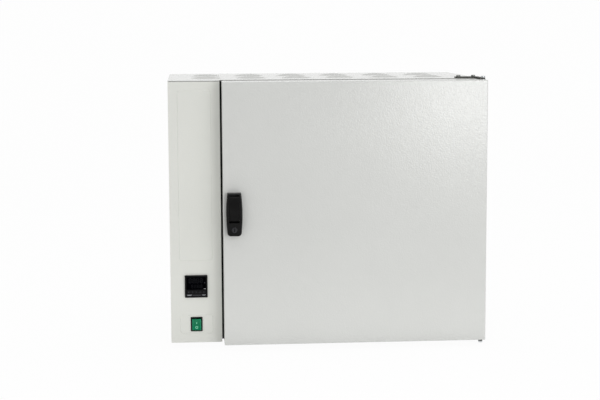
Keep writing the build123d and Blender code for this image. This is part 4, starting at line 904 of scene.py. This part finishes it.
gasket_low, gasket_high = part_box("door_gasket")
gasket_half = 0.006
gasket_rise = gasket_high[1] - gasket_low[1] - 0.0001
bulb = [(-1.0, 0.0), (-1.0, 0.16), (-0.78, 0.24)]
for bulge in (math.radians(15 * k) for k in range(13)):
    bulb.append((-0.78 * math.cos(bulge), 0.3 + 0.7 * math.sin(bulge)))
bulb += [(0.78, 0.24), (1.0, 0.16), (1.0, 0.0)]
corner_radius = 0.009
corner_inset = gasket_half + corner_radius
middle_x, middle_z = (gasket_low[0] + gasket_high[0]) / 2, (gasket_low[2] + gasket_high[2]) / 2
half_x = (gasket_high[0] - gasket_low[0]) / 2 - corner_inset
half_z = (gasket_high[2] - gasket_low[2]) / 2 - corner_inset
gasket_rings = []
for quarter, (side_x, side_z) in enumerate(((1, 1), (-1, 1), (-1, -1), (1, -1))):
    corner = Vector((middle_x + side_x * half_x, gasket_low[1], middle_z + side_z * half_z))
    for step in range(7):
        turn = math.pi / 2 * (quarter + step / 6)
        normal = Vector((math.cos(turn), 0, math.sin(turn)))
        centre = corner + corner_radius * normal
        gasket_rings.append(
            [
                centre + normal * (gasket_half * across) + Vector((0, gasket_rise * up, 0))
                for across, up in bulb
            ]
        )
silicone = moulded("red_silicone", "#8C4237", 0.42, 1.6, 0.02, 1.41)
gasket = swept("silicone_gasket", gasket_rings, silicone)
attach(gasket, "door")
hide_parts("door_gasket")


# Hinges
# Two laser-cut steel plates in a dark grey coat, with zinc-plated pan-head screws and bright pins
# that turn in blocks inside the door.
def coated_steel(name, colour, metallic, rough):
    """Steel with a thin coat that is cloudy at 20 mm in its tone and its shine."""
    material, output = new_material(name)
    place = add_node(material, "ShaderNodeTexCoord")
    cloud = add_node(
        material,
        "ShaderNodeTexNoise",
        {"Vector": place.outputs["Object"], "Scale": 50.0, "Detail": 5.0},
    )
    tone = add_node(
        material,
        "ShaderNodeMapRange",
        {"Value": cloud.outputs["Fac"], "To Min": 0.85, "To Max": 1.1},
    )
    shade = add_node(
        material,
        "ShaderNodeMix",
        {"Factor": 1.0, 6: srgb(colour), 7: tone.outputs["Result"]},
        data_type="RGBA",
        blend_type="MULTIPLY",
    )
    shine = add_node(
        material,
        "ShaderNodeMapRange",
        {"Value": cloud.outputs["Fac"], "To Min": rough - 0.08, "To Max": rough + 0.08},
    )
    metal = add_node(
        material,
        "ShaderNodeBsdfPrincipled",
        {
            "Base Color": shade.outputs[2],
            "Metallic": metallic,
            "Roughness": shine.outputs["Result"],
        },
    )
    material.node_tree.links.new(metal.outputs[0], output.inputs["Surface"])
    return material


dark_plate_coat = coated_steel("dark_grey_plate_coat", "#43443F", 0.7, 0.45)
zinc_plate = coated_steel("bright_zinc_plate", "#C8CBCD", 1.0, 0.3)
for plate_node in ("hinge_plate_upper", "hinge_plate_lower"):
    soften(plate_node, 0.3, dark_plate_coat)
soften("hinge_screws", 0.2, coated_steel("dull_zinc_screws", "#A3A5A2", 1.0, 0.42))
for plated_node in ("hinge_pins", "hinge_blocks"):
    soften(plated_node, 0.3, zinc_plate)


# Latch
# A zinc-plated steel slide with a hook, moved by the lever's arm and pushed down by a coil of
# music wire in its case behind the handle.
soften("latch_slide", 0.25, zinc_plate)
coil_low, coil_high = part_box("latch_spring")
wire = 0.5 * MM
coil_turns, steps_a_turn, wire_sides = 7, 24, 8
coil_centre = Vector(((coil_low[0] + coil_high[0]) / 2, (coil_low[1] + coil_high[1]) / 2, 0))
coil_radius = (coil_high[0] - coil_low[0]) / 2 - wire
coil_length = coil_high[2] - coil_low[2] - 2 * wire
coil_steps = coil_turns * steps_a_turn
upwards = Vector((0, 0, 1))


def wire_ring(centre, outward, up, radius, thickness, sides):
    """The section of a round wire that lies at a radius from a centre."""
    ring = []
    for k in range(sides):
        around = 2 * math.pi * k / sides
        reach = radius + thickness * math.cos(around)
        ring.append(centre + outward * reach + up * (thickness * math.sin(around)))
    return ring


coil_rings = []
for step in range(coil_steps + 1):
    around = 2 * math.pi * step / steps_a_turn
    outward = Vector((math.cos(around), math.sin(around), 0))
    height = Vector((0, 0, coil_low[2] + wire + coil_length * step / coil_steps))
    coil_rings.append(
        wire_ring(coil_centre + height, outward, upwards, coil_radius, wire, wire_sides)
    )
music_wire = coated_steel("music_wire", "#8D8F92", 1.0, 0.28)
latch_coil = swept("latch_coil", coil_rings, music_wire, closed=False)
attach(latch_coil, "door")
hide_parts("latch_spring")
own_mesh(latch_coil)


# Handle
# Base and lever are moulded from black ABS with a leather-like grain of about 0.7 mm. The lever
# swings out on a steel pin.
soften("handle_base", 0.5, moulded("grained_black_abs", "#090909", 0.38, 0.7, 0.04), 3)
soften("handle_lever", 0.6, moulded("lever_black_abs", "#090909", 0.33, 0.7, 0.03), 3)
soften("lever_pin", 0.2, ground_steel)


# Lock
# A chrome-plated brass plug with a key slot, in a thin black-chromed ring that is pressed into
# the handle's foot.
soften("lock_plug", 0.4, coated_steel("satin_chrome_plate", "#77787B", 1.0, 0.34), 3)
lock_low, lock_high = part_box("lock_plug")
lock_x, lock_z = (lock_low[0] + lock_high[0]) / 2, (lock_low[2] + lock_high[2]) / 2
lock_centre = Vector((lock_x, lock_low[1] + 0.0004, lock_z))
ring_radius, ring_wire, ring_turns, ring_sides = 0.0068, 0.0006, 48, 10
inwards = Vector((0, 1, 0))
lock_rings = []
for step in range(ring_turns):
    around = 2 * math.pi * step / ring_turns
    outward = Vector((math.cos(around), 0, math.sin(around)))
    lock_rings.append(wire_ring(lock_centre, outward, inwards, ring_radius, ring_wire, ring_sides))
black_chrome = coated_steel("black_chrome", "#5C5D60", 1.0, 0.3)
lock_ring = swept("lock_ring", lock_rings, black_chrome)
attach(lock_ring, "door")


# Screws
# Cross-recessed pan heads, zinc-plated and passivated to a faint blue, for the rear panel, the
# feet and the door's inner panel.
screw_zinc = coated_steel("passivated_zinc_screws", "#BFC4C8", 1.0, 0.32)
for screw_node in ("case_screws", "door_screws"):
    soften(screw_node, 0.15, screw_zinc)


# Feet
# Four turned feet of black nitrile rubber with a dusty, fully matt skin.
soften("feet", 0.6, moulded("nitrile_rubber", "#171717", 0.82, 1.4, 0.05, 1.5))
